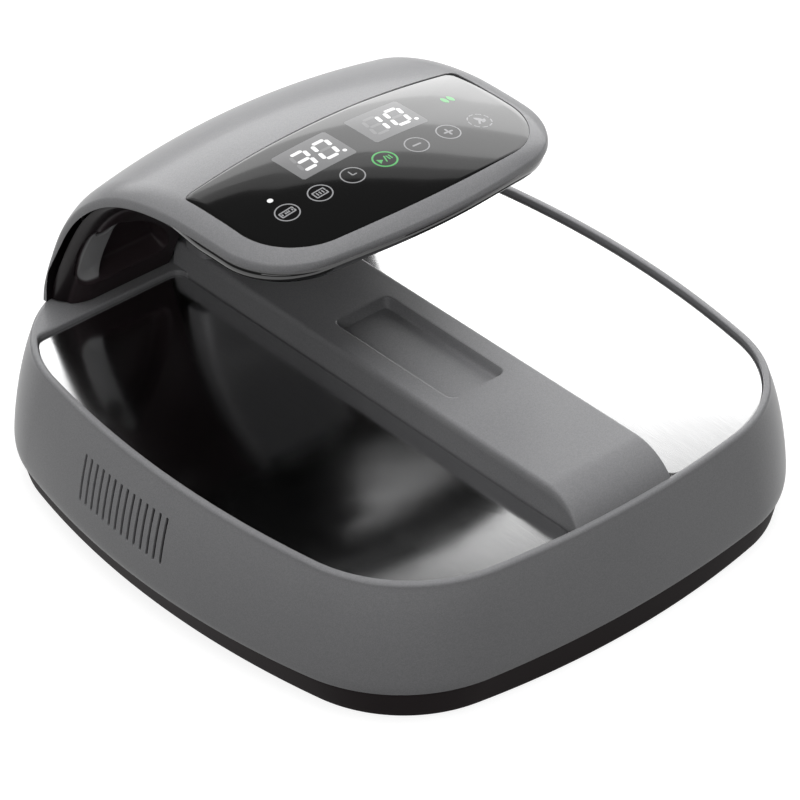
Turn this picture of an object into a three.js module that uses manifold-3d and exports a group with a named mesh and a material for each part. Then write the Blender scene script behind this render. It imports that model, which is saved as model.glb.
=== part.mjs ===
// A heated foot massager: a bowed tray with two steel foot plates, a raised middle with a
// small tray in it, and a hood that rises from the back rim and carries the touch panel.
// Millimetres, +Z up, +Y to the back, the user sits at -Y. The origin is the middle of the
// floor under the feet.
import * as THREE from 'three';
import { mergeVertices } from 'three/addons/utils/BufferGeometryUtils.js';
import Module from 'manifold-3d';

const wasm = await Module();
wasm.setup();

// Driving dimensions of the base
const bodyHalfWidth = 189.4;
const bodyHalfDepth = 197.1;
const rimHeight = 86.8;
const skirtTop = 19.6;
const footDrop = 1;
const rimInset = 15.7;
const skirtInset = 9.4;
const bodyWall = 3;
const rimWidth = 3.9;
const clearance = 0.4;
const seat = 0.3;
const overrun = 12;

// Outlines: half width, half depth, corner radius and the radii that bow the sides and ends
const bodyOutline = {
  halfWidth: bodyHalfWidth, halfDepth: bodyHalfDepth, corner: 88, sideBow: 505, endBow: 697,
};
const rimOutline = {
  halfWidth: bodyHalfWidth - rimInset, halfDepth: bodyHalfDepth - 0.43 * rimInset,
  corner: 86, sideBow: 631, endBow: 625,
};
const skirtOutline = {
  halfWidth: bodyHalfWidth - skirtInset, halfDepth: bodyHalfDepth - 0.37 * skirtInset,
  corner: 78, sideBow: 568, endBow: 549,
};

// The wall from the skirt to the rim: share of the height, share of the flare
const wallProfileShares = [
  [0, 0.94], [0.03, 0.985], [0.08, 1.0], [0.22, 0.94], [0.4, 0.81],
  [0.6, 0.61], [0.8, 0.35], [0.955, 0.08], [0.985, 0.01], [1, -0.03],
];

// Foot plates and what holds them
const plateDrop = 2.3;
const plateThickness = 1.2;
const deckDepth = 46.1;
const plateRear = bodyHalfDepth - deckDepth;
const plateCorner = 7;
const sealThickness = 1;
const sealWidth = 6;
const ledgeWidth = 9;
const ledgeThickness = 2.7;
const plateTop = rimHeight - plateDrop;
const ledgeTop = plateTop - plateThickness - sealThickness - 2 * seat;
const cavityTop = ledgeTop - ledgeThickness;

// The raised middle between the plates
const dividerRise = 15.4;
const dividerTop = rimHeight + dividerRise;
const dividerHalfTop = 35.1;
const dividerHalfFoot = 37.6;
const dividerRoll = 28;
const dividerSetback = 9.1;
const dividerFront = dividerSetback - bodyHalfDepth;
const dividerRear = plateRear + bodyWall;
const dividerEdge = 2.2;
const dividerTaper = 1.4;

// The shallow tray in the raised middle
const trayFront = -68.5;
const trayRear = 33;
const trayHalfWidth = 20.6;
const trayDepth = 6.3;
const trayCorner = 5.5;
const trayDraft = 2.6;

// Cooling slots in both side walls
const slotCount = 14;
const slotPitch = 5.8;
const slotWidth = 1.8;
const slotFoot = 20.2;
const slotDrop = 18;
const slotLow = skirtTop + slotFoot;
const slotHigh = rimHeight - slotDrop;
const slotMiddle = 24;

// The hood: one crowned band from the back rim over to the panel
const hoodSetback = 9.1;
const hoodReach = 229;
const hoodRise = 127.4;
const hoodRear = bodyHalfDepth - hoodSetback;
const hoodFront = hoodRear - hoodReach;
const hoodTop = rimHeight + seat + hoodRise;
const hoodHalfFoot = 117.5;
const hoodHalfHead = 113.4;
const crownRadius = 560;
const crownRadiusFoot = 625;
const hoodWall = 2.8;
const rollWidth = 15;
const rollDepth = 7.8;
const headCorner = 52;
const headEndRise = 20.1;
const headEndBow = bowRadius(hoodHalfHead, headEndRise);
const headSideBow = 2500;

// Centre line of the hood, foot last: shares of the reach from the back and of the rise
const crownLineShares = [
  [1.0, 0.947], [0.947, 0.967], [0.821, 0.991], [0.683, 1.0], [0.526, 0.988], [0.369, 0.929],
  [0.239, 0.823], [0.133, 0.661], [0.062, 0.47], [0.023, 0.272], [0.005, 0.117], [0, 0],
];

// Inner face of the arm, foot first: the middle line and the line along its outer edge
const innerLineShares = [
  [0.129, 0.002], [0.15, 0.09], [0.176, 0.19], [0.207, 0.318], [0.248, 0.46],
  [0.296, 0.585], [0.355, 0.69], [0.43, 0.765], [0.5, 0.8],
];
const innerEdgeShares = [
  [0.071, 0.002], [0.09, 0.1], [0.122, 0.24], [0.156, 0.375], [0.205, 0.53],
  [0.255, 0.63], [0.315, 0.705], [0.38, 0.765], [0.455, 0.8],
];

// The touch glass and its place in the head
const glassSideMargin = 13.9;
const glassFrontMargin = 12.2;
const glassDepth = 95.6;
const glassHalfWidth = hoodHalfHead - glassSideMargin;
const glassFront = hoodFront + glassFrontMargin;
const glassRear = glassFront + glassDepth;
const glassSideBow = 1500;
const glassEndRise = 11.67;
const glassEndBow = bowRadius(glassHalfWidth, glassEndRise);
const glassCorner = 41;
const glassRearCorner = 4;
const glassThickness = 1.8;
const glassSink = 0.25;
const glassLedge = 5;

// Underside of the head: depths under the crown's skin
const coverWall = 2.4;
const coverMargin = 7.2;
const coverRear = glassRear + coverMargin;
const coverInset = 1.3;
const coverLip = 13.8;
const coverSoft = 1.2;
const coverReach = 45;
const partingGap = 0.6;
const coverShares = [0, 0.4, 0.7, 0.88, 0.955, 0.985];

// The pan and its feet
const panFloor = 2.5;
const panWall = 2.6;
const panLipInset = 1.9;
const panEdge = 0.9;
const footRadius = 11;
const footEdge = 1;
const footSink = 0.8;
const frontFootInset = [69.4, 57.1];
const rearFootInset = [63.4, 63.1];
const floorSlotCount = 5;
const floorSlotPitch = 7;
const floorSlotWidth = 3;
const floorTop = footDrop + panFloor;

// Screws and the bosses that they go into
const middleBossSetback = 38.5;
const middleBossPlaces = [[0, dividerFront + middleBossSetback], [0, plateRear - middleBossSetback]];
const bossRadius = 5;
const bossFoot = 9.5;
const screwHeadRadius = 3.4;
const screwHeadHeight = 2.2;
const screwShank = 1.5;
const screwLength = 13;
const screwSink = 4.5;
const bossBore = screwShank + seat;

// Heating mats and thermostats under the plates
const matInset = 5;
const matThickness = 1.2;
const thermostatRadius = 8;
const thermostatHeight = 7;
const thermostatInset = 89.4;
const thermostatX = bodyHalfWidth - thermostatInset;
const thermostatY = 70;

// Vibration motors in their cradles, shaft end to the front
const motorInset = 85.4;
const motorX = bodyHalfWidth - motorInset;
const motorY = 6;
const motorRadius = 17;
const motorLength = 50;
const motorAxis = 27;
const motorCollar = 3;
const cradleSheet = 4;
const cradleHalf = 14;
const cradlePlaces = [-15, 15];
const shaftRadius = 2;
const runningGap = 0.3;
const weightGap = 1.5;
const weightThickness = 10;
const weightRadius = 14;

// Cooling fan behind the left slots
const fanInset = 31.4;
const fanOuter = fanInset - bodyHalfWidth;
const fanDepth = 12;
const fanHalf = 25;
const fanRoom = 2;
const fanZ = cavityTop - fanRoom - fanHalf;
const fanBore = 23.4;
const fanTip = 1;
const fanHub = 9;
const fanShaft = 1.5;
const fanSpider = 2;
const fanHole = 1.8;
const fanPost = 8;
const spokeCount = 3;
const bladeCount = 7;
const bladeThickness = 1.1;
const bladePitch = 0.85;
const bladeTwist = 0.16;

// Main board and transformer
const boardHalfWidth = 52;
const boardDepth = 88;
const boardMargin = 55;
const boardRear = plateRear - boardMargin;
const boardFront = boardRear - boardDepth;
const boardLow = 12.5;
const boardSheet = 1.6;
const boardPostInset = 6;
const postRadius = 3;
const coreHalfWidth = 24;
const coreDepth = 38;
const coreSetback = 35.1;
const coreRear = bodyHalfDepth - coreSetback;
const coreFront = coreRear - coreDepth;
const coreHeight = 36;

// Rear panel with the mains inlet and the switch
const panelHalfWidth = 34;
const panelHalfHeight = 16;
const panelFoot = 23.4;
const panelMiddle = skirtTop + panelFoot;
const panelSetback = 4.9;
const panelFace = bodyHalfDepth - panelSetback;
const panelFlange = 4;
const panelSheet = 2.2;
const panelPlug = 5.2;
const panelCorner = 3;
const inletX = 14;
const inletHalfWidth = 13.5;
const inletHalfHeight = 9.8;
const inletChamfer = 4.5;
const inletDepth = 22;
const inletProud = 0.9;
const inletWall = 2.2;
const inletPin = 2;
const inletPinPitch = 7;
const switchX = -18;
const switchHalfWidth = 8;
const switchHalfHeight = 11.5;
const switchCorner = 1.5;
const switchDepth = 16;
const rockerHalfWidth = 5.6;
const rockerHalfHeight = 8.6;
const rockerRoom = 0.9;
const rockerValley = 1.2;
const rockerEnd = 2.6;
const rockerLip = 2.2;
const rockerBack = 5;
const rockerPin = 1.4;
const rockerPinRadius = 1.2;
const rockerPinLength = 1.3;
const rockerTilt = 11;

// Bracket that carries the hood, with two screws into the rear deck
const bracketHalfWidth = 24;
const bracketSheet = 1.6;
const bracketSteps = 26;
const bracketScrewX = 14;
const bracketScrewSetback = 18;
const bracketScrewY = hoodRear - bracketScrewSetback;
const bracketHeadMargin = 9.2;
const bracketHeadY = glassRear + bracketHeadMargin;
const deckBossDepth = 12;
const bracketShares = [
  [0.128, 0], [0.06, 0], [0.04, 0.004], [0.034, 0.03], [0.033, 0.1], [0.042, 0.22], [0.064, 0.36],
  [0.11, 0.53], [0.18, 0.67], [0.27, 0.765], [0.36, 0.815], [0.43, 0.832], [0.48, 0.833], [0.55, 0.833],
];

// Screws, pillars and boards in the head
const pillarMargin = 1.5;
const pillarX = glassHalfWidth + pillarMargin;
const pillarSetbacks = [46.8, 9.8];
const headPillars = pillarSetbacks.flatMap((back) =>
  [-1, 1].map((side) => [side * pillarX, glassRear - back]));
const pillarRadius = 3.4;
const coverPillarRadius = 5.2;
const headScrewLength = 9;
const pillarFall = crownRadius - Math.sqrt(crownRadius ** 2 - pillarX ** 2);
const displayBoardRoom = 10.92;
const displayBoardLow = hoodTop - pillarFall - displayBoardRoom;
const coverScrewRoom = 4.4;
const coverScrewSeat = displayBoardLow - coverScrewRoom;
const bellyRoom = 5.7;
const coverBelly = hoodTop - displayBoardLow + bellyRoom;
const displayBoardHalfWidth = pillarX + postRadius;
const displayBoardDepth = 51;
const displayBoardRear = glassRear - postRadius;
const displayBoardFront = displayBoardRear - displayBoardDepth;
const chipShares = [[-0.58, 0.5], [0, 0.3], [0.6, 0.45]];
const moduleHalfWidth = 19;
const moduleHalfDepth = 14.4;
const moduleX = 27.5;
const moduleSetback = 26.2;
const moduleY = glassRear - moduleSetback;
const moduleHeight = 8.5;
const moduleDrop = 6.9;
const moduleTop = hoodTop - moduleDrop;
const modulePin = 0.5;

// The neck cover over the middle of the arm
const neckHalfWidth = 37.6;
const neckWall = 2.4;
const neckDepth = 17;
const neckRound = 7;
const neckLineShares = [
  [0.268, 0.124], [0.277, 0.24], [0.3, 0.38], [0.345, 0.53], [0.405, 0.655], [0.487, 0.768],
];

// The dished grip in each wing insert: its outline as shares of the arm's half width and rise
const insertWall = 2.4;
const insertInner = 39;
const insertBlend = 20;
const insertGap = 1.2;
const insertRowShares = [0, 0.4, 0.7, 0.82, 0.91, 0.97, 1];
const gripDepth = 7;
const gripWall = 2;
const gripSteps = 26;
const gripShares = [
  [0.88, 0.12], [0.91, 0.16], [0.917, 0.26], [0.917, 0.37], [0.91, 0.465], [0.89, 0.53], [0.85, 0.567],
  [0.79, 0.545], [0.706, 0.5], [0.579, 0.412], [0.468, 0.305], [0.405, 0.2], [0.405, 0.15],
  [0.45, 0.132], [0.6, 0.128], [0.8, 0.122],
];
const wingScrewInset = 14.45;
const wingScrewRise = 58.9;
const wingScrewX = (hoodHalfHead + hoodHalfFoot) / 2 - wingScrewInset;
const wingScrewZ = rimHeight + seat + wingScrewRise;
const wingSeatSetback = 42;
const wingSeatY = hoodRear - wingSeatSetback;
const wingWellRadius = 5;
const wingBossRadius = 7;
const wingBossReach = 26;

// Mesh steps, and the distance under which two corners are one
const cornerSteps = 8;
const bowSteps = 3;
const railSteps = 15;
const circleSteps = 20;
const boreSteps = 36;
const smallSteps = 10;
const insertSteps = 7;
const neckSteps = 9;
const backEdgeSteps = 6;
const mergeDistance = 1e-4;

const V2 = THREE.Vector2;
const V3 = THREE.Vector3;
const lerp = THREE.MathUtils.lerp;
const sides = [['left', -1], ['right', 1]];
const bracketScrewSeat = rimHeight + 2 * seat + bracketSheet;

// Solids and geometries

// A closed mesh as a solid that can be joined and cut
function solid(geometry) {
  const bare = geometry.clone();
  bare.deleteAttribute('normal');
  bare.deleteAttribute('uv');
  const merged = mergeVertices(bare, mergeDistance);
  const index = [];
  const old = merged.index.array;
  for (let i = 0; i < old.length; i += 3) {
    const [a, b, c] = [old[i], old[i + 1], old[i + 2]];
    if (a !== b && b !== c && a !== c) index.push(a, b, c);
  }
  return new wasm.Manifold(new wasm.Mesh({
    numProp: 3,
    vertProperties: Float32Array.from(merged.getAttribute('position').array),
    triVerts: Uint32Array.from(index),
  }));
}

// A solid back as a geometry with flat normals
function geometryOf(manifold) {
  const mesh = manifold.getMesh();
  const geometry = new THREE.BufferGeometry();
  geometry.setAttribute('position', new THREE.BufferAttribute(Float32Array.from(mesh.vertProperties), 3));
  geometry.setIndex(Array.from(mesh.triVerts));
  geometry.computeVertexNormals();
  return geometry;
}

// Several solids joined into one
function join(...solids) {
  return solids.reduce((whole, next) => whole.add(next));
}

// A solid less everything in a list
function cut(body, cutters) {
  return cutters.reduce((whole, next) => whole.subtract(next), body);
}

function box(x0, x1, y0, y1, z0, z1) {
  const shape = new THREE.BoxGeometry(x1 - x0, y1 - y0, z1 - z0);
  shape.translate((x0 + x1) / 2, (y0 + y1) / 2, (z0 + z1) / 2);
  return solid(shape);
}

// A round bar from one point along an axis: 'x', 'y' or 'z'
function bar(radius, length, [x, y, z], axis = 'z', steps = circleSteps, endRadius = radius) {
  const shape = new THREE.CylinderGeometry(endRadius, radius, length, steps);
  shape.translate(0, length / 2, 0);
  if (axis === 'z') shape.rotateX(Math.PI / 2);
  if (axis === 'x') shape.rotateZ(-Math.PI / 2);
  shape.translate(x, y, z);
  return solid(shape);
}

// A turned piece: radius and height pairs, closed on the axis
function turned(profile, steps = circleSteps) {
  const points = profile.map(([radius, height]) => new V2(radius, height));
  const shape = new THREE.LatheGeometry(points, steps);
  shape.rotateX(Math.PI / 2);
  return solid(shape);
}

// A flat outline pulled up from zero, with sharp edges
function extruded(points, depth) {
  return new THREE.ExtrudeGeometry(new THREE.Shape(points), { depth, bevelEnabled: false });
}

// A flat outline pulled up from one height to another
function prism(points, low, high) {
  const shape = extruded(points, high - low);
  shape.translate(0, 0, low);
  return solid(shape);
}

// An outline in the side plane (y, z) pulled across from one x to another
function sidePrism(points, left, right) {
  const shape = extruded(points, right - left);
  shape.applyMatrix4(new THREE.Matrix4().set(0, 0, 1, left, 1, 0, 0, 0, 0, 1, 0, 0, 0, 0, 0, 1));
  return solid(shape);
}

// An upright outline (x, z) pulled along y
function uprightPrism(points, front, rear) {
  const shape = extruded(points, rear - front);
  shape.applyMatrix4(new THREE.Matrix4().set(1, 0, 0, 0, 0, 0, -1, rear, 0, 1, 0, 0, 0, 0, 0, 1));
  return solid(shape);
}

// Outlines

// Radius of the bow that rises by one length over a half width
function bowRadius(half, rise) {
  return (half ** 2 + rise ** 2) / (2 * rise);
}

// Points on an arc around a centre, first and last angle included
function arc(centre, radius, from, to, steps) {
  const points = [];
  for (let i = 0; i <= steps; i += 1) {
    const angle = lerp(from, to, i / steps);
    points.push(new V2(centre.x + radius * Math.cos(angle), centre.y + radius * Math.sin(angle)));
  }
  return points;
}

// One quarter of a rounded rectangle whose sides and ends are bowed, from +x round to +y
function bowedQuarter({ halfWidth, halfDepth, corner, sideBow, endBow }) {
  const side = new V2(halfWidth - sideBow, 0);
  const end = new V2(0, halfDepth - endBow);
  const apart = side.distanceTo(end);
  const toSide = sideBow - corner;
  const toEnd = endBow - corner;
  const along = (toSide ** 2 - toEnd ** 2 + apart ** 2) / (2 * apart);
  const off = Math.sqrt(toSide ** 2 - along ** 2);
  const way = end.clone().sub(side).divideScalar(apart);
  const centres = [1, -1].map((sign) => new V2(
    side.x + way.x * along + sign * way.y * off,
    side.y + way.y * along - sign * way.x * off,
  ));
  const centre = centres[0].x + centres[0].y > centres[1].x + centres[1].y ? centres[0] : centres[1];
  const first = centre.clone().sub(side).angle();
  const second = centre.clone().sub(end).angle();
  return [
    ...arc(side, sideBow, 0, first, bowSteps),
    ...arc(centre, corner, first, second, cornerSteps).slice(1),
    ...arc(end, endBow, second, Math.PI / 2, bowSteps).slice(1),
  ];
}

// The whole outline from its quarter, counter-clockwise
function bowedRectangle(sizes) {
  const quarter = bowedQuarter(sizes);
  const second = quarter.slice(0, -1).reverse().map((p) => new V2(-p.x, p.y));
  const half = [...quarter, ...second];
  const lower = half.slice(1, -1).reverse().map((p) => new V2(p.x, -p.y));
  return [...half, ...lower];
}

// A rectangle with round corners
function roundedRectangle(left, right, front, rear, radius, steps = 5) {
  const corners = [
    [right - radius, rear - radius, 0], [left + radius, rear - radius, 1],
    [left + radius, front + radius, 2], [right - radius, front + radius, 3],
  ];
  return corners.flatMap(([x, y, turn]) =>
    arc(new V2(x, y), radius, turn * Math.PI / 2, (turn + 1) * Math.PI / 2, steps));
}

// An outline between two others
function outlineBetween(lower, upper, share) {
  const mixed = {};
  for (const key of Object.keys(lower)) mixed[key] = lerp(lower[key], upper[key], share);
  return mixed;
}

// An outline moved inwards by one distance
function inset(sizes, distance) {
  return {
    halfWidth: sizes.halfWidth - distance, halfDepth: sizes.halfDepth - distance,
    corner: sizes.corner - distance, sideBow: sizes.sideBow - distance, endBow: sizes.endBow - distance,
  };
}

// Lofts

// A closed solid through rings of equal count, with a fan over each end
function loft(rings) {
  const count = rings[0].length;
  const points = rings.flat();
  const index = [];
  for (let r = 0; r + 1 < rings.length; r += 1) {
    for (let i = 0; i < count; i += 1) {
      const a = r * count + i;
      const b = r * count + (i + 1) % count;
      index.push(a, b, b + count, a, b + count, a + count);
    }
  }
  [0, rings.length - 1].forEach((r) => {
    const middle = rings[r].reduce((sum, p) => sum.add(p), new V3()).divideScalar(count);
    points.push(middle);
    const tip = points.length - 1;
    for (let i = 0; i < count; i += 1) {
      const a = r * count + i;
      const b = r * count + (i + 1) % count;
      if (r === 0) index.push(b, a, tip);
      else index.push(a, b, tip);
    }
  });
  return meshOf(points, index);
}

function meshOf(points, index) {
  const geometry = new THREE.BufferGeometry().setFromPoints(points);
  geometry.setIndex(index);
  return geometry;
}

// A flat outline as a ring at one height
function ringAt(points, height) {
  return points.map((p) => new V3(p.x, p.y, height));
}

// A closed sheet from two grids of equal size: the outer face and the inner face behind it
function sheet(outer, inner) {
  const rows = outer.length;
  const columns = outer[0].length;
  const points = [...outer.flat(), ...inner.flat()];
  const back = rows * columns;
  const at = (r, c) => r * columns + c;
  const index = [];
  for (let r = 0; r + 1 < rows; r += 1) {
    for (let c = 0; c + 1 < columns; c += 1) {
      const [p, q, s, t] = [at(r, c), at(r, c + 1), at(r + 1, c + 1), at(r + 1, c)];
      index.push(p, q, s, p, s, t, back + p, back + s, back + q, back + p, back + t, back + s);
    }
  }
  const border = [];
  for (let c = 0; c + 1 < columns; c += 1) border.push(at(0, c));
  for (let r = 0; r + 1 < rows; r += 1) border.push(at(r, columns - 1));
  for (let c = columns - 1; c > 0; c -= 1) border.push(at(rows - 1, c));
  for (let r = rows - 1; r > 0; r -= 1) border.push(at(r, 0));
  border.forEach((p, i) => {
    const q = border[(i + 1) % border.length];
    index.push(q, p, back + p, q, back + p, back + q);
  });
  return meshOf(points, index);
}

// The base

// Outline of the outer wall at a height above the floor
function wallAt(height, inwards = 0) {
  const share = (height - skirtTop) / (rimHeight - skirtTop);
  let flare = wallProfileShares.at(-1)[1];
  for (let i = 0; i + 1 < wallProfileShares.length; i += 1) {
    const [[low, flareLow], [high, flareHigh]] = [wallProfileShares[i], wallProfileShares[i + 1]];
    if (share >= low && share <= high) flare = lerp(flareLow, flareHigh, (share - low) / (high - low));
  }
  return inset(outlineBetween(rimOutline, bodyOutline, flare), inwards);
}

function wallLoft(inwards, low, high) {
  const levels = inwards > 0 ? wallProfileShares.filter((_, i) => i % 3 === 0) : wallProfileShares;
  const heights = levels.map(([share]) => lerp(skirtTop, rimHeight, share));
  const inside = heights.filter((height) => height > low + seat && height < high - seat);
  const rings = [low, ...inside, high].map((height) => {
    const level = THREE.MathUtils.clamp(height, skirtTop, rimHeight);
    return ringAt(bowedRectangle(wallAt(level, inwards)), height);
  });
  return solid(loft(rings));
}

// One plate's outline: the rim's inner edge, cut off at the raised middle and at the rear deck
function plateBlank(side, inwards, low, high) {
  const whole = prism(bowedRectangle(inset(rimOutline, rimWidth + inwards)), low, high);
  const inner = dividerHalfFoot + inwards;
  const [left, right] = side < 0 ? [-bodyHalfWidth, -inner] : [inner, bodyHalfWidth];
  const field = roundedRectangle(left, right, -bodyHalfDepth, plateRear - inwards, plateCorner);
  return whole.intersect(prism(field, low, high));
}

// The raised middle: its section is a trapezium with soft upper edges, rolled down in front
function dividerRing(y, inwards) {
  const into = THREE.MathUtils.clamp((y - dividerFront) / dividerRoll, 0, 1);
  const low = cavityTop - seat;
  const rise = (dividerTop - inwards - low) * Math.sqrt(1 - (1 - into) ** 2 * 0.998);
  const top = low + rise;
  const foot = dividerHalfFoot - inwards - dividerTaper * (1 - into);
  const head = lerp(foot, dividerHalfTop - inwards, (top - low) / (dividerTop - low));
  const edge = Math.min(dividerEdge, rise / 3);
  const half = [
    [foot, low], [head + edge * 0.15, top - edge], [head - edge * 0.35, top - edge * 0.3], [head - edge, top],
  ];
  const other = half.slice().reverse().map(([x, z]) => [-x, z]);
  return [...half, ...other].map(([x, z]) => new V3(x, y, z));
}

function dividerBlock(inwards, rear) {
  const rings = [];
  const steps = 9;
  for (let i = 0; i <= steps; i += 1) {
    const into = 1 - Math.cos(i / steps * Math.PI / 2);
    rings.push(dividerRing(dividerFront + inwards + dividerRoll * into, inwards));
  }
  rings.push(dividerRing(rear, inwards));
  return solid(loft(rings.reverse()));
}

// The recess of the small tray: drafted walls and round corners
function trayRecess() {
  const rings = [[trayDepth, trayDraft, 0], [0, 0, 0], [-overrun, 0, 0]].map(([depth, draft]) => ringAt(
    roundedRectangle(-trayHalfWidth + draft, trayHalfWidth - draft, trayFront + draft, trayRear - draft,
      trayCorner - draft / 3),
    dividerTop - depth,
  ));
  return solid(loft(rings));
}

// Round-ended slots through one side wall
function ventSlots(side) {
  const slots = [];
  for (let i = 0; i < slotCount; i += 1) {
    const y = slotMiddle + (i - (slotCount - 1) / 2) * slotPitch;
    const half = slotWidth / 2;
    const points = [
      new V2(y + half, slotLow + half), new V2(y + half, slotHigh - half), new V2(y, slotHigh),
      new V2(y - half, slotHigh - half), new V2(y - half, slotLow + half), new V2(y, slotLow),
    ];
    const outer = side * (bodyHalfWidth + overrun);
    const inner = side * (bodyHalfWidth - rimInset - overrun);
    slots.push(sidePrism(points, Math.min(outer, inner), Math.max(outer, inner)));
  }
  return slots;
}

// Places of the bosses: under the plate ledge at the corners, and two under the raised middle
function cornerPlace() {
  return bowedQuarter(inset(rimOutline, rimWidth + ledgeWidth / 2))[bowSteps + cornerSteps / 2];
}

const bossPlaces = [
  ...[-1, 1].flatMap((end) => sides.map(([, side]) => [side * cornerPlace().x, end * cornerPlace().y])),
  ...middleBossPlaces,
];

// The shell of the base: wall, rim, rear deck, plate ledges, raised middle, tray and bosses
function bodyShell() {
  const outer = join(wallLoft(0, skirtTop, rimHeight), dividerBlock(0, dividerRear + bodyWall));
  const cutters = [
    wallLoft(bodyWall, skirtTop - overrun, cavityTop),
    dividerBlock(bodyWall, dividerRear),
    ...sides.flatMap(([, side]) => [
      plateBlank(side, 0, ledgeTop, rimHeight + overrun),
      plateBlank(side, ledgeWidth, cavityTop - overrun, rimHeight + overrun),
      ...ventSlots(side),
    ]),
  ];
  const trayTub = prism(roundedRectangle(-trayHalfWidth - bodyWall, trayHalfWidth + bodyWall,
    trayFront - bodyWall, trayRear + bodyWall, trayCorner + bodyWall),
  dividerTop - trayDepth - bodyWall, dividerTop - bodyWall / 2);
  const bosses = bossPlaces.map(([x, y]) => {
    const top = Math.abs(x) < dividerHalfTop ? dividerTop - bodyWall / 2 : cavityTop + seat;
    return bar(bossRadius, top - bossFoot, [x, y, bossFoot], 'z', smallSteps);
  });
  const bores = bossPlaces.map(([x, y]) =>
    bar(bossBore, screwLength, [x, y, bossFoot - seat], 'z', smallSteps));
  const deckBosses = bracketPlaces(bracketScrewY, cavityTop - deckBossDepth + seat)
    .map((place) => bar(bossRadius, deckBossDepth, place, 'z', smallSteps));
  const deckBores = bracketPlaces(bracketScrewY, rimHeight - screwLength)
    .map((place) => bar(bossBore, screwLength + seat, place, 'z', smallSteps));
  const opening = uprightPrism(panelOutline(0), panelFace - overrun, panelFace + overrun);
  return cut(join(cut(outer, cutters), trayTub, ...bosses, ...deckBosses),
    [trayRecess(), ...bores, ...deckBores, opening]);
}

// The two screw places of the bracket at one y and height
function bracketPlaces(y, height) {
  return sides.map(([, side]) => [side * bracketScrewX, y, height]);
}

// Outline of the opening in the back wall (x, z)
function panelOutline(grow) {
  const [wide, high] = [panelHalfWidth + grow, panelHalfHeight + grow];
  const corner = panelCorner + Math.max(grow, 0);
  return roundedRectangle(-wide, wide, panelMiddle - high, panelMiddle + high, corner);
}

const boardPosts = sides.flatMap(([, side]) => [boardFront + boardPostInset, boardRear - boardPostInset]
  .map((y) => [side * (boardHalfWidth - boardPostInset), y]));

const footPlaces = [frontFootInset, rearFootInset].flatMap(([fromSide, fromEnd], i) =>
  sides.map(([, side]) => [side * (bodyHalfWidth - fromSide), (i * 2 - 1) * (bodyHalfDepth - fromEnd)]));

// The pan: a drafted wall on a floor, with sockets for the feet, holes for the screws, slots
// for the fan's air and the posts and cradles that carry the inner pieces
function basePan() {
  const lip = inset(bodyOutline, panLipInset);
  const top = skirtTop - seat;
  const levelAt = (height, inwards) => {
    const share = THREE.MathUtils.clamp((height - footDrop) / (top - footDrop), 0, 1);
    return ringAt(bowedRectangle(inset(outlineBetween(skirtOutline, lip, share), inwards)), height);
  };
  const outer = solid(loft([levelAt(footDrop, panEdge), levelAt(footDrop + panEdge, 0), levelAt(top, 0)]));
  const inner = solid(loft([levelAt(floorTop, panWall), levelAt(top + overrun, panWall)]));
  const root = floorTop - seat;
  const pillars = bossPlaces.map(([x, y]) =>
    bar(bossRadius, bossFoot - seat - root, [x, y, root], 'z', smallSteps));
  const cradles = sides.flatMap(([, side]) => cradlePlaces.map((y) => box(
    side * motorX - cradleHalf, side * motorX + cradleHalf,
    motorY + y - cradleSheet / 2, motorY + y + cradleSheet / 2, root, motorAxis - motorRadius / 2,
  )));
  const fanPosts = [-1, 1].map((side) => box(
    fanOuter, fanOuter + fanDepth, slotMiddle + side * (fanHalf - fanPost) - fanPost / 2,
    slotMiddle + side * (fanHalf - fanPost) + fanPost / 2, root, fanZ - fanHalf - seat,
  ));
  const posts = boardPosts.map(([x, y]) =>
    bar(postRadius, boardLow - seat - root, [x, y, root], 'z', smallSteps));
  const motors = sides.map(([, side]) =>
    bar(motorRadius + seat, motorLength * 2, [side * motorX, motorY - motorLength, motorAxis], 'y'));
  const holes = bossPlaces.flatMap(([x, y]) => [
    bar(screwShank + clearance, bossFoot, [x, y, 0], 'z', smallSteps),
    bar(screwHeadRadius + clearance, footDrop + screwSink, [x, y, 0], 'z', smallSteps),
  ]);
  const sockets = footPlaces.map(([x, y]) => bar(footRadius + seat, footDrop + footSink, [x, y, 0]));
  const slots = Array.from({ length: floorSlotCount }, (_, i) => {
    const left = fanOuter + fanDepth + (i + 0.5) * floorSlotPitch;
    return prism(roundedRectangle(left, left + floorSlotWidth, slotMiddle - fanHalf, slotMiddle + fanHalf,
      floorSlotWidth / 2, 2), 0, floorTop + overrun / 2);
  });
  const solids = cut(join(outer.subtract(inner), ...pillars, ...cradles, ...fanPosts, ...posts), motors);
  return cut(solids, [...holes, ...sockets, ...slots]);
}

function rubberFoot([x, y]) {
  const height = footDrop + footSink - seat;
  return turned([
    [0, 0], [footRadius - footEdge, 0], [footRadius, footEdge], [footRadius, height], [0, height],
  ]).translate([x, y, 0]);
}

// A screw that points up from its head: a pan head with a cross recess and a plain shank
function screw([x, y, z], up = 1, length = screwLength) {
  const head = turned([
    [0, -screwHeadHeight], [screwHeadRadius * 0.75, -screwHeadHeight],
    [screwHeadRadius, -screwHeadHeight * 0.4], [screwHeadRadius, 0],
    [screwShank, 0], [screwShank, length - screwShank], [0, length],
  ], smallSteps);
  const arm = screwHeadRadius * 0.6;
  const slit = screwHeadHeight * 0.2;
  const whole = cut(head, [
    box(-arm, arm, -slit, slit, -screwHeadHeight * 2, -screwHeadHeight / 2),
    box(-slit, slit, -arm, arm, -screwHeadHeight * 2, -screwHeadHeight / 2),
  ]);
  return (up > 0 ? whole : whole.rotate([180, 0, 0])).translate([x, y, z]);
}

// Under each plate: the heating mat and the thermostat that limits it
function heaterPad(side) {
  const top = plateTop - plateThickness - seat;
  return plateBlank(side, ledgeWidth + matInset, top - matThickness, top);
}

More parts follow.
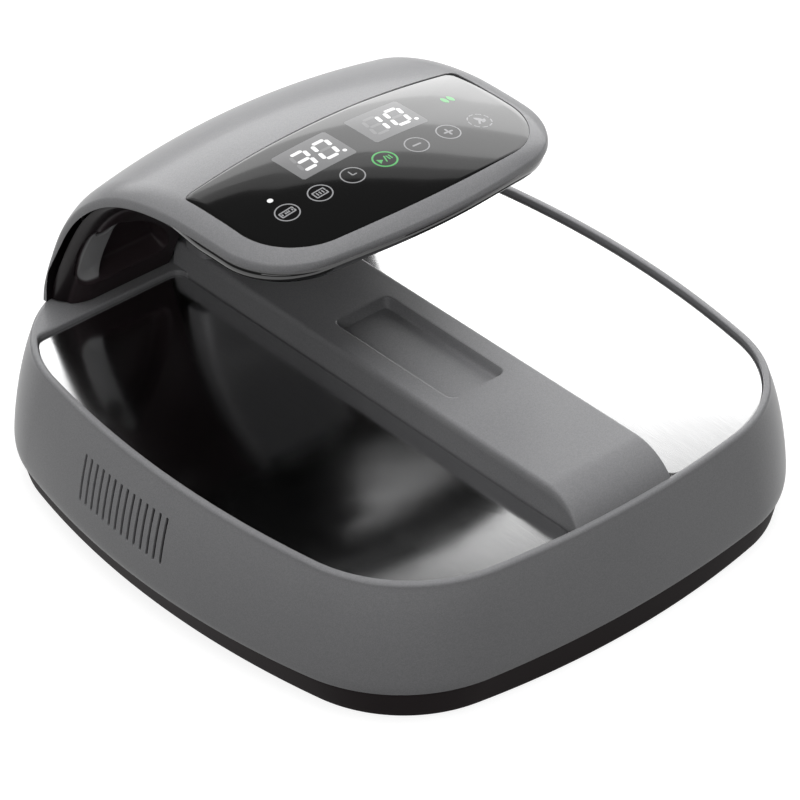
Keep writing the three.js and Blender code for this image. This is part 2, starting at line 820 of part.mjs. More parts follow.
function thermostat(side) {
  const top = plateTop - plateThickness - matThickness - 2 * seat;
  const cap = turned([
    [0, 0], [thermostatRadius * 0.6, 0], [thermostatRadius * 0.6, thermostatHeight * 0.55],
    [thermostatRadius, thermostatHeight * 0.6], [thermostatRadius, thermostatHeight], [0, thermostatHeight],
  ]);
  const tab = thermostatRadius * 0.22;
  const tabs = [-1, 1].map((way) => box(
    Math.min(0, way * thermostatRadius * 1.4), Math.max(0, way * thermostatRadius * 1.4),
    -tab, tab, thermostatHeight * 0.15, thermostatHeight * 0.3,
  ));
  return join(cap, ...tabs).translate([side * thermostatX, thermostatY, top - thermostatHeight]);
}

// Vibration motor lying in its cradle, shaft end forward, and the weight on its shaft
function vibrationMotor(side) {
  const half = motorLength / 2;
  const can = turned([
    [0, -half], [motorRadius * 0.35, -half], [motorRadius * 0.35, -half + motorCollar],
    [motorRadius * 0.94, -half + motorCollar], [motorRadius, -half + motorCollar * 2],
    [motorRadius, half - motorCollar], [motorRadius * 0.9, half], [0, half],
  ]);
  const bore = bar(shaftRadius + runningGap, motorLength, [0, 0, -motorLength], 'z');
  return can.subtract(bore).rotate([-90, 0, 0]).translate([side * motorX, motorY, motorAxis]);
}

function eccentricWeight(side) {
  const half = motorLength / 2;
  const front = motorY - half - weightGap - weightThickness;
  const shaft = bar(shaftRadius, weightThickness + weightGap + half * 0.8, [0, front, 0], 'y');
  const sector = [
    ...arc(new V2(), weightRadius, Math.PI, 2 * Math.PI, smallSteps),
    new V2(weightRadius * 0.42, weightRadius * 0.4), new V2(-weightRadius * 0.42, weightRadius * 0.4),
  ];
  const lobe = uprightPrism(sector, front, front + weightThickness);
  return join(shaft, lobe).translate([side * motorX, 0, motorAxis]);
}

// Cooling fan behind the left slots, blowing inwards
function fanFrame() {
  const inner = fanOuter + fanDepth;
  const hubPlate = inner - fanSpider;
  const frame = box(
    fanOuter, inner, slotMiddle - fanHalf, slotMiddle + fanHalf, fanZ - fanHalf, fanZ + fanHalf,
  );
  const bore = bar(fanBore, fanDepth + overrun, [fanOuter - overrun / 2, slotMiddle, fanZ], 'x', boreSteps);
  const hub = bar(fanHub, fanSpider, [hubPlate, slotMiddle, fanZ], 'x');
  const half = fanSpider / 2;
  const arms = Array.from({ length: spokeCount }, (_, i) => {
    const spoke = box(hubPlate, inner, -half, half, fanHub / 2, fanBore + half);
    return spoke.rotate([(i + 0.25) * 360 / spokeCount, 0, 0]).translate([0, slotMiddle, fanZ]);
  });
  const shaft = bar(fanShaft + runningGap, fanDepth * 2, [fanOuter, slotMiddle, fanZ], 'x');
  const corner = fanHalf - fanHole * 2;
  const holes = [-1, 1].flatMap((a) => [-1, 1].map((b) => {
    const place = [fanOuter - overrun / 2, slotMiddle + a * corner, fanZ + b * corner];
    return bar(fanHole, fanDepth + overrun, place, 'x', smallSteps);
  }));
  return cut(join(frame.subtract(bore), hub, ...arms), [shaft, ...holes]);
}

function fanRotor() {
  const rear = fanOuter + fanDepth - fanSpider - fanSpider / 2;
  const hub = bar(fanHub, rear - fanOuter - fanSpider / 2, [fanOuter + fanSpider / 2, 0, 0], 'x');
  const shaft = bar(fanShaft, rear - fanOuter + fanSpider, [fanOuter + fanSpider, 0, 0], 'x');
  const reach = fanBore - fanTip;
  const depth = rear - fanOuter - fanSpider;
  const blades = Array.from({ length: bladeCount }, (_, i) => {
    const rings = [fanHub * 0.8, (fanHub + reach) / 2, reach].map((radius, j) => {
      const turn = bladePitch - j * bladeTwist;
      const along = new V2(Math.cos(turn), Math.sin(turn)).multiplyScalar(depth / 2 / Math.cos(bladePitch));
      const thick = new V2(-Math.sin(turn), Math.cos(turn)).multiplyScalar(bladeThickness / 2);
      return [[1, 1], [-1, 1], [-1, -1], [1, -1]].map(([a, t]) => new V3(
        fanOuter + fanSpider + depth / 2 - fanSpider / 4 + a * along.x + t * thick.x,
        a * along.y + t * thick.y, radius,
      ));
    });
    return solid(loft(rings)).rotate([i * 360 / bladeCount, 0, 0]);
  });
  const whole = join(hub, shaft, ...blades);
  return whole.translate([0, slotMiddle, fanZ]);
}

// Main board on its four posts, with what stands on it
function mainBoard() {
  const top = boardLow + boardSheet;
  const sheetPart = box(-boardHalfWidth, boardHalfWidth, boardFront, boardRear, boardLow, top);
  const [wide, deep] = [boardHalfWidth, boardDepth];
  const placeAt = (share) => lerp(boardFront, boardRear, share);
  const on = (x, share, w, d, h) => box(
    x - w / 2, x + w / 2, placeAt(share) - d / 2, placeAt(share) + d / 2, top - seat, top + h,
  );
  const can = (x, share, radius, h) =>
    bar(radius, h + seat, [x, placeAt(share), top - seat], 'z', smallSteps);
  return join(
    sheetPart,
    can(-wide * 0.62, 0.7, wide * 0.15, deep * 0.24), can(-wide * 0.25, 0.74, wide * 0.12, deep * 0.21),
    on(wide * 0.2, 0.35, wide * 0.34, deep * 0.2, deep * 0.035),
    on(wide * 0.55, 0.7, wide * 0.38, deep * 0.17, deep * 0.17),
    on(-wide * 0.55, 0.24, wide * 0.3, deep * 0.17, deep * 0.17),
    on(wide * 0.66, 0.22, wide * 0.14, deep * 0.26, deep * 0.1),
  );
}

function transformer() {
  const low = floorTop + seat;
  const depth = coreDepth;
  const middle = coreFront + depth / 2;
  const core = box(-coreHalfWidth, coreHalfWidth, coreFront, coreRear, low, low + coreHeight);
  const [windowIn, windowOut] = [coreHalfWidth * 0.34, coreHalfWidth * 0.72];
  const windows = [-1, 1].map((side) => box(
    Math.min(side * windowIn, side * windowOut), Math.max(side * windowIn, side * windowOut),
    coreFront - overrun, coreRear + overrun, low + coreHeight * 0.22, low + coreHeight * 0.78,
  ));
  const coil = prism(roundedRectangle(-windowOut + clearance, windowOut - clearance, middle - depth * 0.42,
    middle + depth * 0.42, depth * 0.12, 3), low + coreHeight * 0.25, low + coreHeight * 0.75);
  const foot = box(-coreHalfWidth * 1.35, coreHalfWidth * 1.35, middle - depth * 0.2, middle + depth * 0.2,
    low, low + boardSheet);
  return join(cut(core, windows), coil, foot);
}

// Rear panel, mains inlet and switch
function rearPanel() {
  const face = panelFace;
  const plug = uprightPrism(panelOutline(-clearance), face - panelPlug, face);
  const flange = uprightPrism(panelOutline(panelFlange), face - panelPlug - panelSheet, face - panelPlug);
  const holes = [
    uprightPrism(inletOutline(seat), face - overrun * 2, face + overrun),
    uprightPrism(switchOutline(seat), face - overrun * 2, face + overrun),
  ];
  return cut(join(plug, flange), holes);
}

function inletOutline(grow) {
  const [w, h, c] = [inletHalfWidth + grow, inletHalfHeight + grow, inletChamfer];
  const z = panelMiddle;
  return [[-w, -h], [w, -h], [w, h - c], [w - c, h], [-w + c, h], [-w, h - c]]
    .map(([x, y]) => new V2(inletX + x, z + y));
}

function switchOutline(grow) {
  return roundedRectangle(switchX - switchHalfWidth - grow, switchX + switchHalfWidth + grow,
    panelMiddle - switchHalfHeight - grow, panelMiddle + switchHalfHeight + grow, switchCorner);
}

function powerInlet() {
  const face = panelFace;
  const housing = uprightPrism(inletOutline(0), face - inletDepth, face + inletProud);
  const socket = uprightPrism(inletOutline(-inletWall), face - inletDepth + inletWall, face + overrun);
  const pins = [[-inletPinPitch, 0], [inletPinPitch, 0], [0, inletPinPitch * 0.5]].map(([x, z]) => box(
    inletX + x - inletPin / 2, inletX + x + inletPin / 2, face - inletDepth, face - inletWall * 2,
    panelMiddle + z - inletPin, panelMiddle + z + inletPin,
  ));
  return join(housing.subtract(socket), ...pins);
}

function switchHousing() {
  const face = panelFace;
  const frame = uprightPrism(switchOutline(0), face - switchDepth, face + inletProud);
  const well = uprightPrism(roundedRectangle(
    switchX - rockerHalfWidth - seat, switchX + rockerHalfWidth + seat,
    panelMiddle - rockerHalfHeight - rockerRoom, panelMiddle + rockerHalfHeight + rockerRoom, seat * 2, 2,
  ), face - switchDepth + inletWall, face + overrun);
  const hole = bar(rockerPinRadius + seat, 2 * (rockerHalfWidth + rockerPinLength + seat),
    [switchX - rockerHalfWidth - rockerPinLength - seat, face - rockerPin, panelMiddle], 'x', smallSteps);
  return cut(frame, [well, hole]);
}

// The rocker's side shape (y, z): a shallow V in front and a round back about its pin
function switchRocker() {
  const [high, valley, end] = [rockerHalfHeight, rockerValley, rockerEnd];
  const outline = [
    new V2(valley, 0), new V2(end, high - seat), new V2(end - rockerLip, high),
    ...arc(new V2(), rockerBack, Math.PI * 0.7, Math.PI * 1.3, smallSteps / 2),
    new V2(end - rockerLip, -high), new V2(end, -high + seat),
  ];
  const reach = rockerHalfWidth + rockerPinLength;
  const pins = bar(rockerPinRadius, 2 * reach, [-reach, 0, 0], 'x', smallSteps);
  const shape = sidePrism(outline, -rockerHalfWidth, rockerHalfWidth).add(pins);
  return shape.rotate([rockerTilt, 0, 0]).translate([switchX, panelFace - rockerPin, panelMiddle]);
}

// The hood

const crownCurve = new THREE.CatmullRomCurve3(crownLineShares.map(([back, up]) =>
  new V3(0, hoodRear - back * hoodReach, rimHeight + seat + up * hoodRise)), false, 'centripetal');
crownCurve.arcLengthDivisions = 800;
const crownLength = crownCurve.getLength();

// Share of the hood's length at which its centre line passes a given y, in the head
function shareAtY(y) {
  let [low, high] = [0, 0.62];
  for (let i = 0; i < 30; i += 1) {
    const middle = (low + high) / 2;
    if (crownCurve.getPointAt(middle).y < y) low = middle;
    else high = middle;
  }
  return (low + high) / 2;
}

// Half width of the band at a share of its length
function hoodHalfWidth(share) {
  return lerp(hoodHalfHead, hoodHalfFoot, THREE.MathUtils.smoothstep(share, 0.5, 1));
}

// A point of the hood's skin: x, share of the length, distance in from the side edge, and
// how far below the skin it lies. The band is crowned across and rolls down at its edge.
function hoodPoint(x, share, edge, depth) {
  const at = crownCurve.getPointAt(share);
  const way = crownCurve.getTangentAt(share);
  const normal = new V3(0, -way.z, way.y);
  const radius = lerp(crownRadius, crownRadiusFoot, THREE.MathUtils.smoothstep(share, 0.6, 1));
  const crown = radius - Math.sqrt(radius ** 2 - x ** 2);
  const fade = 1 - THREE.MathUtils.smoothstep(share, 0.8, 1);
  const near = THREE.MathUtils.clamp(1 - edge / rollWidth, 0, 1);
  const roll = Math.max(rollDepth * fade - depth, 0) * (1 - Math.sqrt(1 - near ** 2));
  return at.clone().addScaledVector(normal, -(crown + roll + depth)).setX(x);
}

// Outline of the band's half, front middle first: x and share of the length
function hoodEdge(inwards) {
  const front = crownCurve.getPointAt(0).y;
  const sizes = inset({
    halfWidth: hoodHalfHead, halfDepth: hoodHalfHead,
    corner: headCorner, sideBow: headSideBow, endBow: headEndBow,
  }, inwards);
  const quarter = bowedQuarter(sizes).reverse();
  const centre = front + hoodHalfHead;
  const head = quarter.filter((p) => p.y > headCorner * 0.3)
    .map((p) => [p.x, shareAtY(centre - p.y)]);
  const startShare = head.at(-1)[1];
  const rail = [];
  for (let i = 1; i <= railSteps; i += 1) {
    const share = lerp(startShare, 1, i / railSteps);
    rail.push([hoodHalfWidth(share) - inwards, share]);
  }
  return [...head, ...rail];
}

// Ribs run from the centre line to the edge and fan out round the front corners
const hubShare = shareAtY(lerp(glassFront, glassRear, 0.615));
const ribShares = [0, 0.3, 0.6, 0.84, 0.91, 0.955, 0.985, 1];

function hoodGrid(inwards, depth) {
  const halves = hoodEdge(inwards).map(([x, share]) => ribShares.map((r) => {
    const root = Math.max(share, hubShare);
    const along = lerp(root, share, r);
    const run = Math.hypot(x, (root - share) * crownLength);
    return hoodPoint(x * r, along, (1 - r) * run, depth);
  }));
  return halves.map((rib) => {
    const mirror = rib.slice(1).reverse().map((p) => new V3(-p.x, p.y, p.z));
    return [...mirror, ...rib];
  });
}

// The plan of the glass: bowed front with round corners and a nearly straight back
function glassOutline(inwards) {
  const halfDepth = glassDepth / 2;
  const middle = glassFront + halfDepth;
  const front = bowedQuarter(inset({
    halfWidth: glassHalfWidth, halfDepth,
    corner: glassCorner, sideBow: glassSideBow, endBow: glassEndBow,
  }, inwards));
  const rearCorner = arc(
    new V2(glassHalfWidth - inwards - glassRearCorner, halfDepth - inwards - glassRearCorner),
    glassRearCorner, 0, Math.PI / 2, 4,
  );
  const start = rearCorner.at(-1);
  const back = Array.from({ length: backEdgeSteps }, (_, i) =>
    new V2(start.x * (1 - (i + 1) / backEdgeSteps), start.y));
  const right = [...front.slice().reverse().map((p) => new V2(p.x, -p.y)), ...rearCorner, ...back];
  const left = right.slice(1, -1).reverse().map((p) => new V2(-p.x, p.y));
  return [...right, ...left].map((p) => new V2(p.x, p.y + middle));
}

// A slab that follows the hood's crown between two depths under its skin
function crownSlab(outline, upper, lower) {
  const middle = outline.reduce((sum, p) => sum.add(p), new V2()).divideScalar(outline.length);
  const level = (p, depth) => {
    const share = shareAtY(p.y);
    const crown = crownRadius - Math.sqrt(crownRadius ** 2 - p.x ** 2);
    return new V3(p.x, p.y, crownCurve.getPointAt(share).z - crown - depth);
  };
  const scales = [0.02, 0.4, 0.75, 1];
  const face = (depth) => scales.map((scale) =>
    outline.map((p) => level(middle.clone().lerp(p, scale), depth)));
  return solid(loft([...face(lower), ...face(upper).reverse()]));
}

// The silver skin with the recess and the window for the glass, and four screw bosses
function hoodShell() {
  const under = box(-bodyHalfWidth, bodyHalfWidth, 0, bodyHalfDepth, 0, rimHeight + seat);
  const skin = solid(sheet(hoodGrid(0, 0), hoodGrid(hoodWall, hoodWall))).subtract(under);
  const recess = crownSlab(glassOutline(-clearance), -overrun, glassSink + glassThickness + seat);
  const window = crownSlab(glassOutline(glassLedge), 0, overrun * 2);
  const boardTop = displayBoardLow + boardSheet;
  const bosses = headPillars.map(([x, y]) => {
    const top = crownLevel(x, y, hoodWall * 1.2);
    return bar(pillarRadius, top - boardTop - seat, [x, y, boardTop + seat], 'z', smallSteps)
      .subtract(bar(bossBore, top - boardTop - seat * 4, [x, y, boardTop], 'z', smallSteps));
  });
  const strapTop = rimHeight + seat + bracketShares.at(-1)[1] * hoodRise + seat;
  const strapBosses = bracketPlaces(bracketHeadY, strapTop).map(([x, y, z]) =>
    bar(bossRadius, crownLevel(x, y, hoodWall / 2) - z, [x, y, z], 'z', smallSteps)
      .subtract(bar(bossBore, headScrewLength, [x, y, z - seat], 'z', smallSteps)));
  const wingBosses = sides.map(([, side]) => {
    const place = [side * wingScrewX, wingSeatY + gripWall + seat, wingScrewZ];
    return bar(bossRadius, wingBossReach, place, 'y', smallSteps)
      .intersect(solid(sheet(hoodGrid(hoodWall / 2, hoodWall / 2), hoodGrid(hoodWall / 2, overrun * 3))))
      .subtract(bar(bossBore, screwLength, place, 'y', smallSteps));
  });
  return join(cut(skin, [window]), ...bosses, ...strapBosses, ...wingBosses).subtract(recess);
}

// Height of the skin over a point of the plan, less a depth, away from the rolled edge
function crownLevel(x, y, depth) {
  const crown = crownRadius - Math.sqrt(crownRadius ** 2 - x ** 2);
  return crownCurve.getPointAt(shareAtY(y)).z - crown - depth;
}

// Underside of the head: a lip along the parting line, then a flat belly that deepens inwards
function coverDepth(run) {
  const reach = Math.min(run / coverReach, 1);
  return coverLip + (coverBelly - coverLip) * (1 - (1 - reach) ** 2);
}

function coverGrid(wall) {
  const last = shareAtY(coverRear);
  const edge = hoodEdge(coverInset + wall).filter(([, share]) => share < last);
  const [x] = edge.at(-1);
  edge.push([x, last]);
  const top = rollDepth + partingGap;
  const halves = edge.map(([x0, share]) => {
    const root = Math.max(share, hubShare);
    const run = Math.hypot(x0, (root - share) * crownLength);
    const steps = [
      ...coverShares.map((r) => [r, coverDepth((1 - r) * run) - wall]),
      [1, coverLip - coverSoft - wall], [1, top],
    ];
    return steps.map(([r, depth]) => hoodPoint(x0 * r, lerp(root, share, r), rollWidth, depth));
  });
  return halves.map((rib) => [...rib.slice(1).reverse().map((p) => new V3(-p.x, p.y, p.z)), ...rib]);
}

function headLowerCover() {
  const shell = solid(sheet(coverGrid(coverWall), coverGrid(0)));
  const middle = coverGrid(coverWall / 2);
  const raised = middle.map((row) => row.map((p) => new V3(p.x, p.y, p.z + overrun * 3)));
  const above = solid(sheet(raised, middle));
  const pillars = headPillars.map(([x, y]) => bar(coverPillarRadius, overrun * 3,
    [x, y, displayBoardLow - seat - overrun * 3], 'z', smallSteps).intersect(above));
  const bores = headPillars.map(([x, y]) =>
    bar(bossBore, overrun * 3, [x, y, displayBoardLow - overrun * 2], 'z', smallSteps));
  const wells = headPillars.map(([x, y]) => bar(
    screwHeadRadius + clearance, overrun * 2, [x, y, coverScrewSeat - overrun * 2], 'z', smallSteps,
  ));
  return cut(join(shell, ...pillars), [...bores, ...wells]);
}

// A curve in the side plane through points given as shares of the hood's reach and rise
function sideCurve(shares) {
  return new THREE.CatmullRomCurve3(shares.map(([back, up]) =>
    new V3(0, hoodRear - back * hoodReach, rimHeight + seat + up * hoodRise)), false, 'centripetal');
}

// Forward normal of a side curve that runs up from the foot
function forwardNormal(curve, share) {
  const way = curve.getTangentAt(share);
  return new V3(0, -way.z, way.y);
}

const insertMiddle = sideCurve(innerLineShares);
const insertEdge = sideCurve(innerEdgeShares);

// Front face of one wing insert, or a face some way behind it
function insertGrid(side, behind) {
  const rows = [];
  for (let i = 0; i <= insertSteps; i += 1) {
    const share = i / insertSteps;
    const middle = insertMiddle.getPointAt(share);
    const outer = insertEdge.getPointAt(share);
    const back = forwardNormal(insertMiddle, share).negate();
    const reach = hoodHalfWidth(1 - share * 0.45) - hoodWall - insertGap;
    const row = insertRowShares.map((r) => {
      const x = lerp(insertInner, reach, r);
      const turn = THREE.MathUtils.clamp((x - reach + insertBlend) / insertBlend, 0, 1);
      const blend = 1 - Math.sqrt(1 - turn ** 2);
      return middle.clone().lerp(outer, blend).addScaledVector(back, behind).setX(side * x);
    });
    rows.push(side < 0 ? row.reverse() : row);
  }
  return rows;
}

// The grip's outline, grown by a wall, pulled along y and kept between two faces of the insert
function gripBlock(side, grow, near, far) {
  const loop = new THREE.CatmullRomCurve3(gripShares.map(([out, up]) =>
    new V3(out * hoodHalfFoot, rimHeight + seat + up * hoodRise, 0)), true, 'centripetal');
  const points = loop.getSpacedPoints(gripSteps).slice(0, -1).map((p, i) => {
    const way = loop.getTangentAt(i / gripSteps);
    const out = new V2(way.y, -way.x).multiplyScalar(grow);
    return new V2(side * (p.x + out.x), p.y + out.y);
  });
  const column = uprightPrism(points, 0, bodyHalfDepth);
  return column.intersect(solid(sheet(insertGrid(side, near), insertGrid(side, far))));
}

function wingInsert(side) {
  const face = solid(sheet(insertGrid(side, 0), insertGrid(side, insertWall)));
  const tub = gripBlock(side, gripWall, insertWall / 2, gripDepth + gripWall);
  const place = [side * wingScrewX, wingSeatY - overrun, wingScrewZ];
  const behind = solid(sheet(insertGrid(side, gripDepth), insertGrid(side, gripDepth + overrun)));
  const boss = bar(wingBossRadius, overrun + gripWall, place, 'y').intersect(behind);
  return cut(join(face, tub, boss), [
    gripBlock(side, 0, -overrun / 2, gripDepth),
    bar(wingWellRadius, overrun, place, 'y'),
    bar(bossBore, overrun * 2, place, 'y', smallSteps),
  ]);
}

// Screw through the grip's floor into a boss of the hood
function wingScrew(side) {
  return screw([0, 0, 0]).rotate([-90, 0, 0]).translate([side * wingScrewX, wingSeatY - seat, wingScrewZ]);
}

const neckCurve = sideCurve(neckLineShares);

// The neck cover: a channel with round front corners along its own line
function neckGrid(wall) {
  const rows = [];
  const half = neckHalfWidth - wall;
  const section = [
    [half, neckDepth], [half, neckDepth * 0.4], [half - neckRound * 0.11, neckDepth * 0.18],
    [half - neckRound * 0.43, neckDepth * 0.05], [half - neckRound, 0], [0, -neckDepth * 0.06],
  ];
  const whole = [...section, ...section.slice(0, -1).reverse().map(([x, back]) => [-x, back])];
  for (let i = 0; i <= neckSteps; i += 1) {
    const share = i / neckSteps;
    const at = neckCurve.getPointAt(share);
    const back = forwardNormal(neckCurve, share).negate();
    rows.push(whole.toReversed().map(([x, depth]) =>
      at.clone().addScaledVector(back, Math.min(depth + wall, neckDepth)).setX(x)));
  }
  return rows;
}

// Steel strap from the rear deck up the arm, screwed to the hood over the display board
function neckBracket() {
  const line = sideCurve(bracketShares);
  const rings = Array.from({ length: bracketSteps + 1 }, (_, i) => {
    const at = line.getPointAt(i / bracketSteps);
    const face = at.clone().addScaledVector(forwardNormal(line, i / bracketSteps), bracketSheet);
    return [
      at.clone().setX(bracketHalfWidth), at.clone().setX(-bracketHalfWidth),
      face.clone().setX(-bracketHalfWidth), face.clone().setX(bracketHalfWidth),
    ];
  });
  const top = rimHeight + seat + bracketShares.at(-1)[1] * hoodRise;
  const holes = [
    ...bracketPlaces(bracketScrewY, rimHeight - seat), ...bracketPlaces(bracketHeadY, top - overrun / 2),
  ].map((place) => bar(bossBore, overrun, place, 'z', smallSteps));
  return cut(solid(loft(rings)), holes);
}

function displayBoard() {
  const top = displayBoardLow + boardSheet;
  const wide = displayBoardHalfWidth;
  const plan = roundedRectangle(-wide, wide, displayBoardFront, displayBoardRear, postRadius, 3);
  const board = prism(plan, displayBoardLow, top);
  const chips = chipShares.map(([across, back]) => {
    const x = across * wide;
    const y = lerp(displayBoardFront, displayBoardRear, back);
    return box(
      x - postRadius * 2, x + postRadius * 2, y - postRadius, y + postRadius, top - seat, top + boardSheet,
    );
  });
  const holes = headPillars.map(([x, y]) =>
    bar(bossBore, overrun, [x, y, displayBoardLow - seat], 'z', smallSteps));
  return cut(join(board, ...chips), holes);
}

// A seven-segment module on its pins over the display board
function displayModule(x) {
  const low = moduleTop - moduleHeight;
  const foot = displayBoardLow + boardSheet + seat;
  const block = box(
    x - moduleHalfWidth, x + moduleHalfWidth, moduleY - moduleHalfDepth, moduleY + moduleHalfDepth,
    low, moduleTop,
  );
  const pins = [-0.8, -0.4, 0, 0.4, 0.8].flatMap((share) => [-1, 1].map((row) => box(
    x + share * moduleHalfWidth - modulePin, x + share * moduleHalfWidth + modulePin,
    moduleY + row * moduleHalfDepth * 0.8 - modulePin, moduleY + row * moduleHalfDepth * 0.8 + modulePin,
    foot, low + seat,
  )));
  return join(block, ...pins);
}

// Finishes and the parts themselves

const finishes = {
  silver: { color: 0x77777b, roughness: 0.42, metalness: 0.55 },
  black: { color: 0x1d1a1b, roughness: 0.55, metalness: 0 },
  insert: { color: 0x2b2624, roughness: 0.45, metalness: 0 },
  gloss: { color: 0x141415, roughness: 0.12, metalness: 0 },
  steel: { color: 0xd9dadb, roughness: 0.14, metalness: 1 },
  zinc: { color: 0xa9acb0, roughness: 0.35, metalness: 0.9 },
  rubber: { color: 0x262626, roughness: 0.85, metalness: 0 },
  silicone: { color: 0x55585b, roughness: 0.7, metalness: 0 },
  board: { color: 0x1f5a38, roughness: 0.6, metalness: 0 },
  core: { color: 0x4a4640, roughness: 0.5, metalness: 0.6 },
  glass: { color: 0x08090a, roughness: 0.05, metalness: 0 },
  lamp: { color: 0xbfc3c6, roughness: 0.4, metalness: 0 },
};

const group = new THREE.Group();

function part(name, shape, finish) {
  const mesh = new THREE.Mesh(geometryOf(shape), new THREE.MeshStandardMaterial(finishes[finish]));
  mesh.name = name;
  group.add(mesh);
}

part('body_shell', bodyShell(), 'silver');
part('base_pan', basePan(), 'black');
footPlaces.forEach((place, i) => part(`rubber_foot_${i + 1}`, rubberFoot(place), 'rubber'));
bossPlaces.forEach(([x, y], i) => {
  part(`base_screw_${i + 1}`, screw([x, y, footDrop + screwSink - seat]), 'zinc');
});

for (const [name, side] of sides) {
  part(`${name}_foot_plate`, plateBlank(side, clearance, plateTop - plateThickness, plateTop), 'steel');
  const sealTop = plateTop - plateThickness - seat;
  part(`${name}_plate_seal`, plateBlank(side, clearance, sealTop - sealThickness, sealTop)
    .subtract(plateBlank(side, sealWidth + clearance, sealTop - overrun, sealTop + overrun)), 'silicone');
  part(`${name}_heater_pad`, heaterPad(side), 'silicone');
  part(`${name}_thermostat`, thermostat(side), 'zinc');
  part(`${name}_vibration_motor`, vibrationMotor(side), 'zinc');
  part(`${name}_eccentric_weight`, eccentricWeight(side), 'zinc');
  part(`${name}_wing_insert`, wingInsert(side), 'insert');
  part(`${name}_wing_screw`, wingScrew(side), 'zinc');
}

part('fan_frame', fanFrame(), 'black');
part('fan_rotor', fanRotor(), 'black');
part('main_board', mainBoard(), 'board');
part('transformer', transformer(), 'core');
part('rear_panel', rearPanel(), 'black');
part('power_inlet', powerInlet(), 'black');
part('switch_housing', switchHousing(), 'black');
part('switch_rocker', switchRocker(), 'black');

part('hood_shell', hoodShell(), 'silver');
part('head_lower_cover', headLowerCover(), 'gloss');
part('neck_cover', solid(sheet(neckGrid(0), neckGrid(neckWall))), 'silver');
part('neck_bracket', neckBracket(), 'zinc');
part('touch_glass', crownSlab(glassOutline(0), glassSink, glassSink + glassThickness), 'glass');
part('display_board', displayBoard(), 'board');
part('time_display', displayModule(-moduleX), 'lamp');
part('level_display', displayModule(moduleX), 'lamp');
bracketPlaces(bracketScrewY, bracketScrewSeat).forEach((place, i) => {
  part(`${sides[i][0]}_bracket_screw`, screw(place, -1), 'zinc');
});
const strapUnder = rimHeight + seat + bracketShares.at(-1)[1] * hoodRise - bracketSheet - seat;
bracketPlaces(bracketHeadY, strapUnder).forEach((place, i) => {
  part(`${sides[i][0]}_strap_screw`, screw(place, 1, headScrewLength), 'zinc');
});
headPillars.forEach(([x, y], i) => {
  part(`head_screw_${i + 1}`, screw([x, y, coverScrewSeat - seat], 1, headScrewLength), 'zinc');
});

export default group;
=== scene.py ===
import math

import bmesh
import bpy
import numpy as np
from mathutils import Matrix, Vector


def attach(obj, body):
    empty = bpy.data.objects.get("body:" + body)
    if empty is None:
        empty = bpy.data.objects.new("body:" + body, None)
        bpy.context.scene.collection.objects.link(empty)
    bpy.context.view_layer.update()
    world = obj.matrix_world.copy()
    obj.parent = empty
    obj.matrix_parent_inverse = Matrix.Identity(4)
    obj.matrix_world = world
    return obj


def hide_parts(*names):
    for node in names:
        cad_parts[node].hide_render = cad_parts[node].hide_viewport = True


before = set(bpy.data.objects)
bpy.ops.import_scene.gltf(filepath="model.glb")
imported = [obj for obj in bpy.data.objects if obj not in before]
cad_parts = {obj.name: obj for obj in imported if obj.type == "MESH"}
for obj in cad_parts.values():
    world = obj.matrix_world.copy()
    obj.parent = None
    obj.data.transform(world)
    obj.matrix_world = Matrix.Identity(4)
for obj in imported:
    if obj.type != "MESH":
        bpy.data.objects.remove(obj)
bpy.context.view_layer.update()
scene = bpy.context.scene

# Sizes of the real object in millimetres, most of them as the solids have them. BACK_WALL and SIDE_WALL are
# the y and x beyond which a point of the wall is on that side. EVEN is how far an outline's points are evenly
# spaced from the middle of each side
HALF_WIDTH, HALF_DEPTH = 189.4, 197.1
RIM_HEIGHT, SKIRT_TOP, FOOT_DROP = 86.8, 19.6, 1.0
RIM_WIDTH, RIM_SOFT, WALL = 3.9, 2.3, 3.0
PLATE_TOP, PLATE_SHEET, PLATE_REAR, PLATE_CORNER, PLATE_GAP = 84.5, 1.2, 151.0, 7.0, 0.4
LEDGE_TOP, PLATE_BAND, PLATE_FALL = 81.7, 70.0, 0.9
DECK_FRONT, DECK_SOFT, BACK_WALL, SIDE_WALL, EVEN = 141.0, 1.3, 150.0, 120.0, 60.0
SLOT_PITCH, SLOT_WIDTH, SLOT_LOW, SLOT_HIGH, SLOT_MIDDLE, SLOT_DEEP = 5.8, 1.8, 39.8, 68.8, 24.0, 3.2
SLOT_PAIRS = 7
PANEL_HALF, PANEL_LOW, PANEL_HIGH, PANEL_DEEP = 34.3, 26.7, 59.3, 27.0
RIDGE_TOP, RIDGE_LOW, RIDGE_FOOT, RIDGE_HEAD, RIDGE_TAPER, RIDGE_SOFT = 102.2, 78.7, 37.6, 35.1, 1.4, 2.2
RIDGE_FRONT, RIDGE_ROLL, RIDGE_REAR = -188.0, 28.0, 157.0
TRAY_HALF, TRAY_FRONT, TRAY_REAR, TRAY_DEEP, TRAY_CORNER, TRAY_DRAFT = 20.6, -68.5, 33.0, 6.3, 5.5, 2.6
HOOD_REAR, HOOD_REACH, HOOD_BASE, HOOD_RISE, HOOD_WALL = 188.0, 229.0, 87.1, 127.4, 2.8
HEAD_HALF, FOOT_HALF, HEAD_CORNER, HEAD_BOW = 113.4, 117.5, 52.0, 330.0
CROWN_HEAD, CROWN_FOOT, ROLL_WIDTH, ROLL_DEEP, FOLD_WIDTH, FOLD_SHARE = 560.0, 625.0, 15.0, 7.8, 1.7, 0.5
GLASS_HALF, GLASS_FRONT, GLASS_REAR, GLASS_SINK, GLASS_LOW = 99.5, -28.8, 66.8, 0.3, 2.05
GLASS_CORNER, GLASS_REAR_CORNER, GLASS_GAP = 41.0, 4.0, 0.4
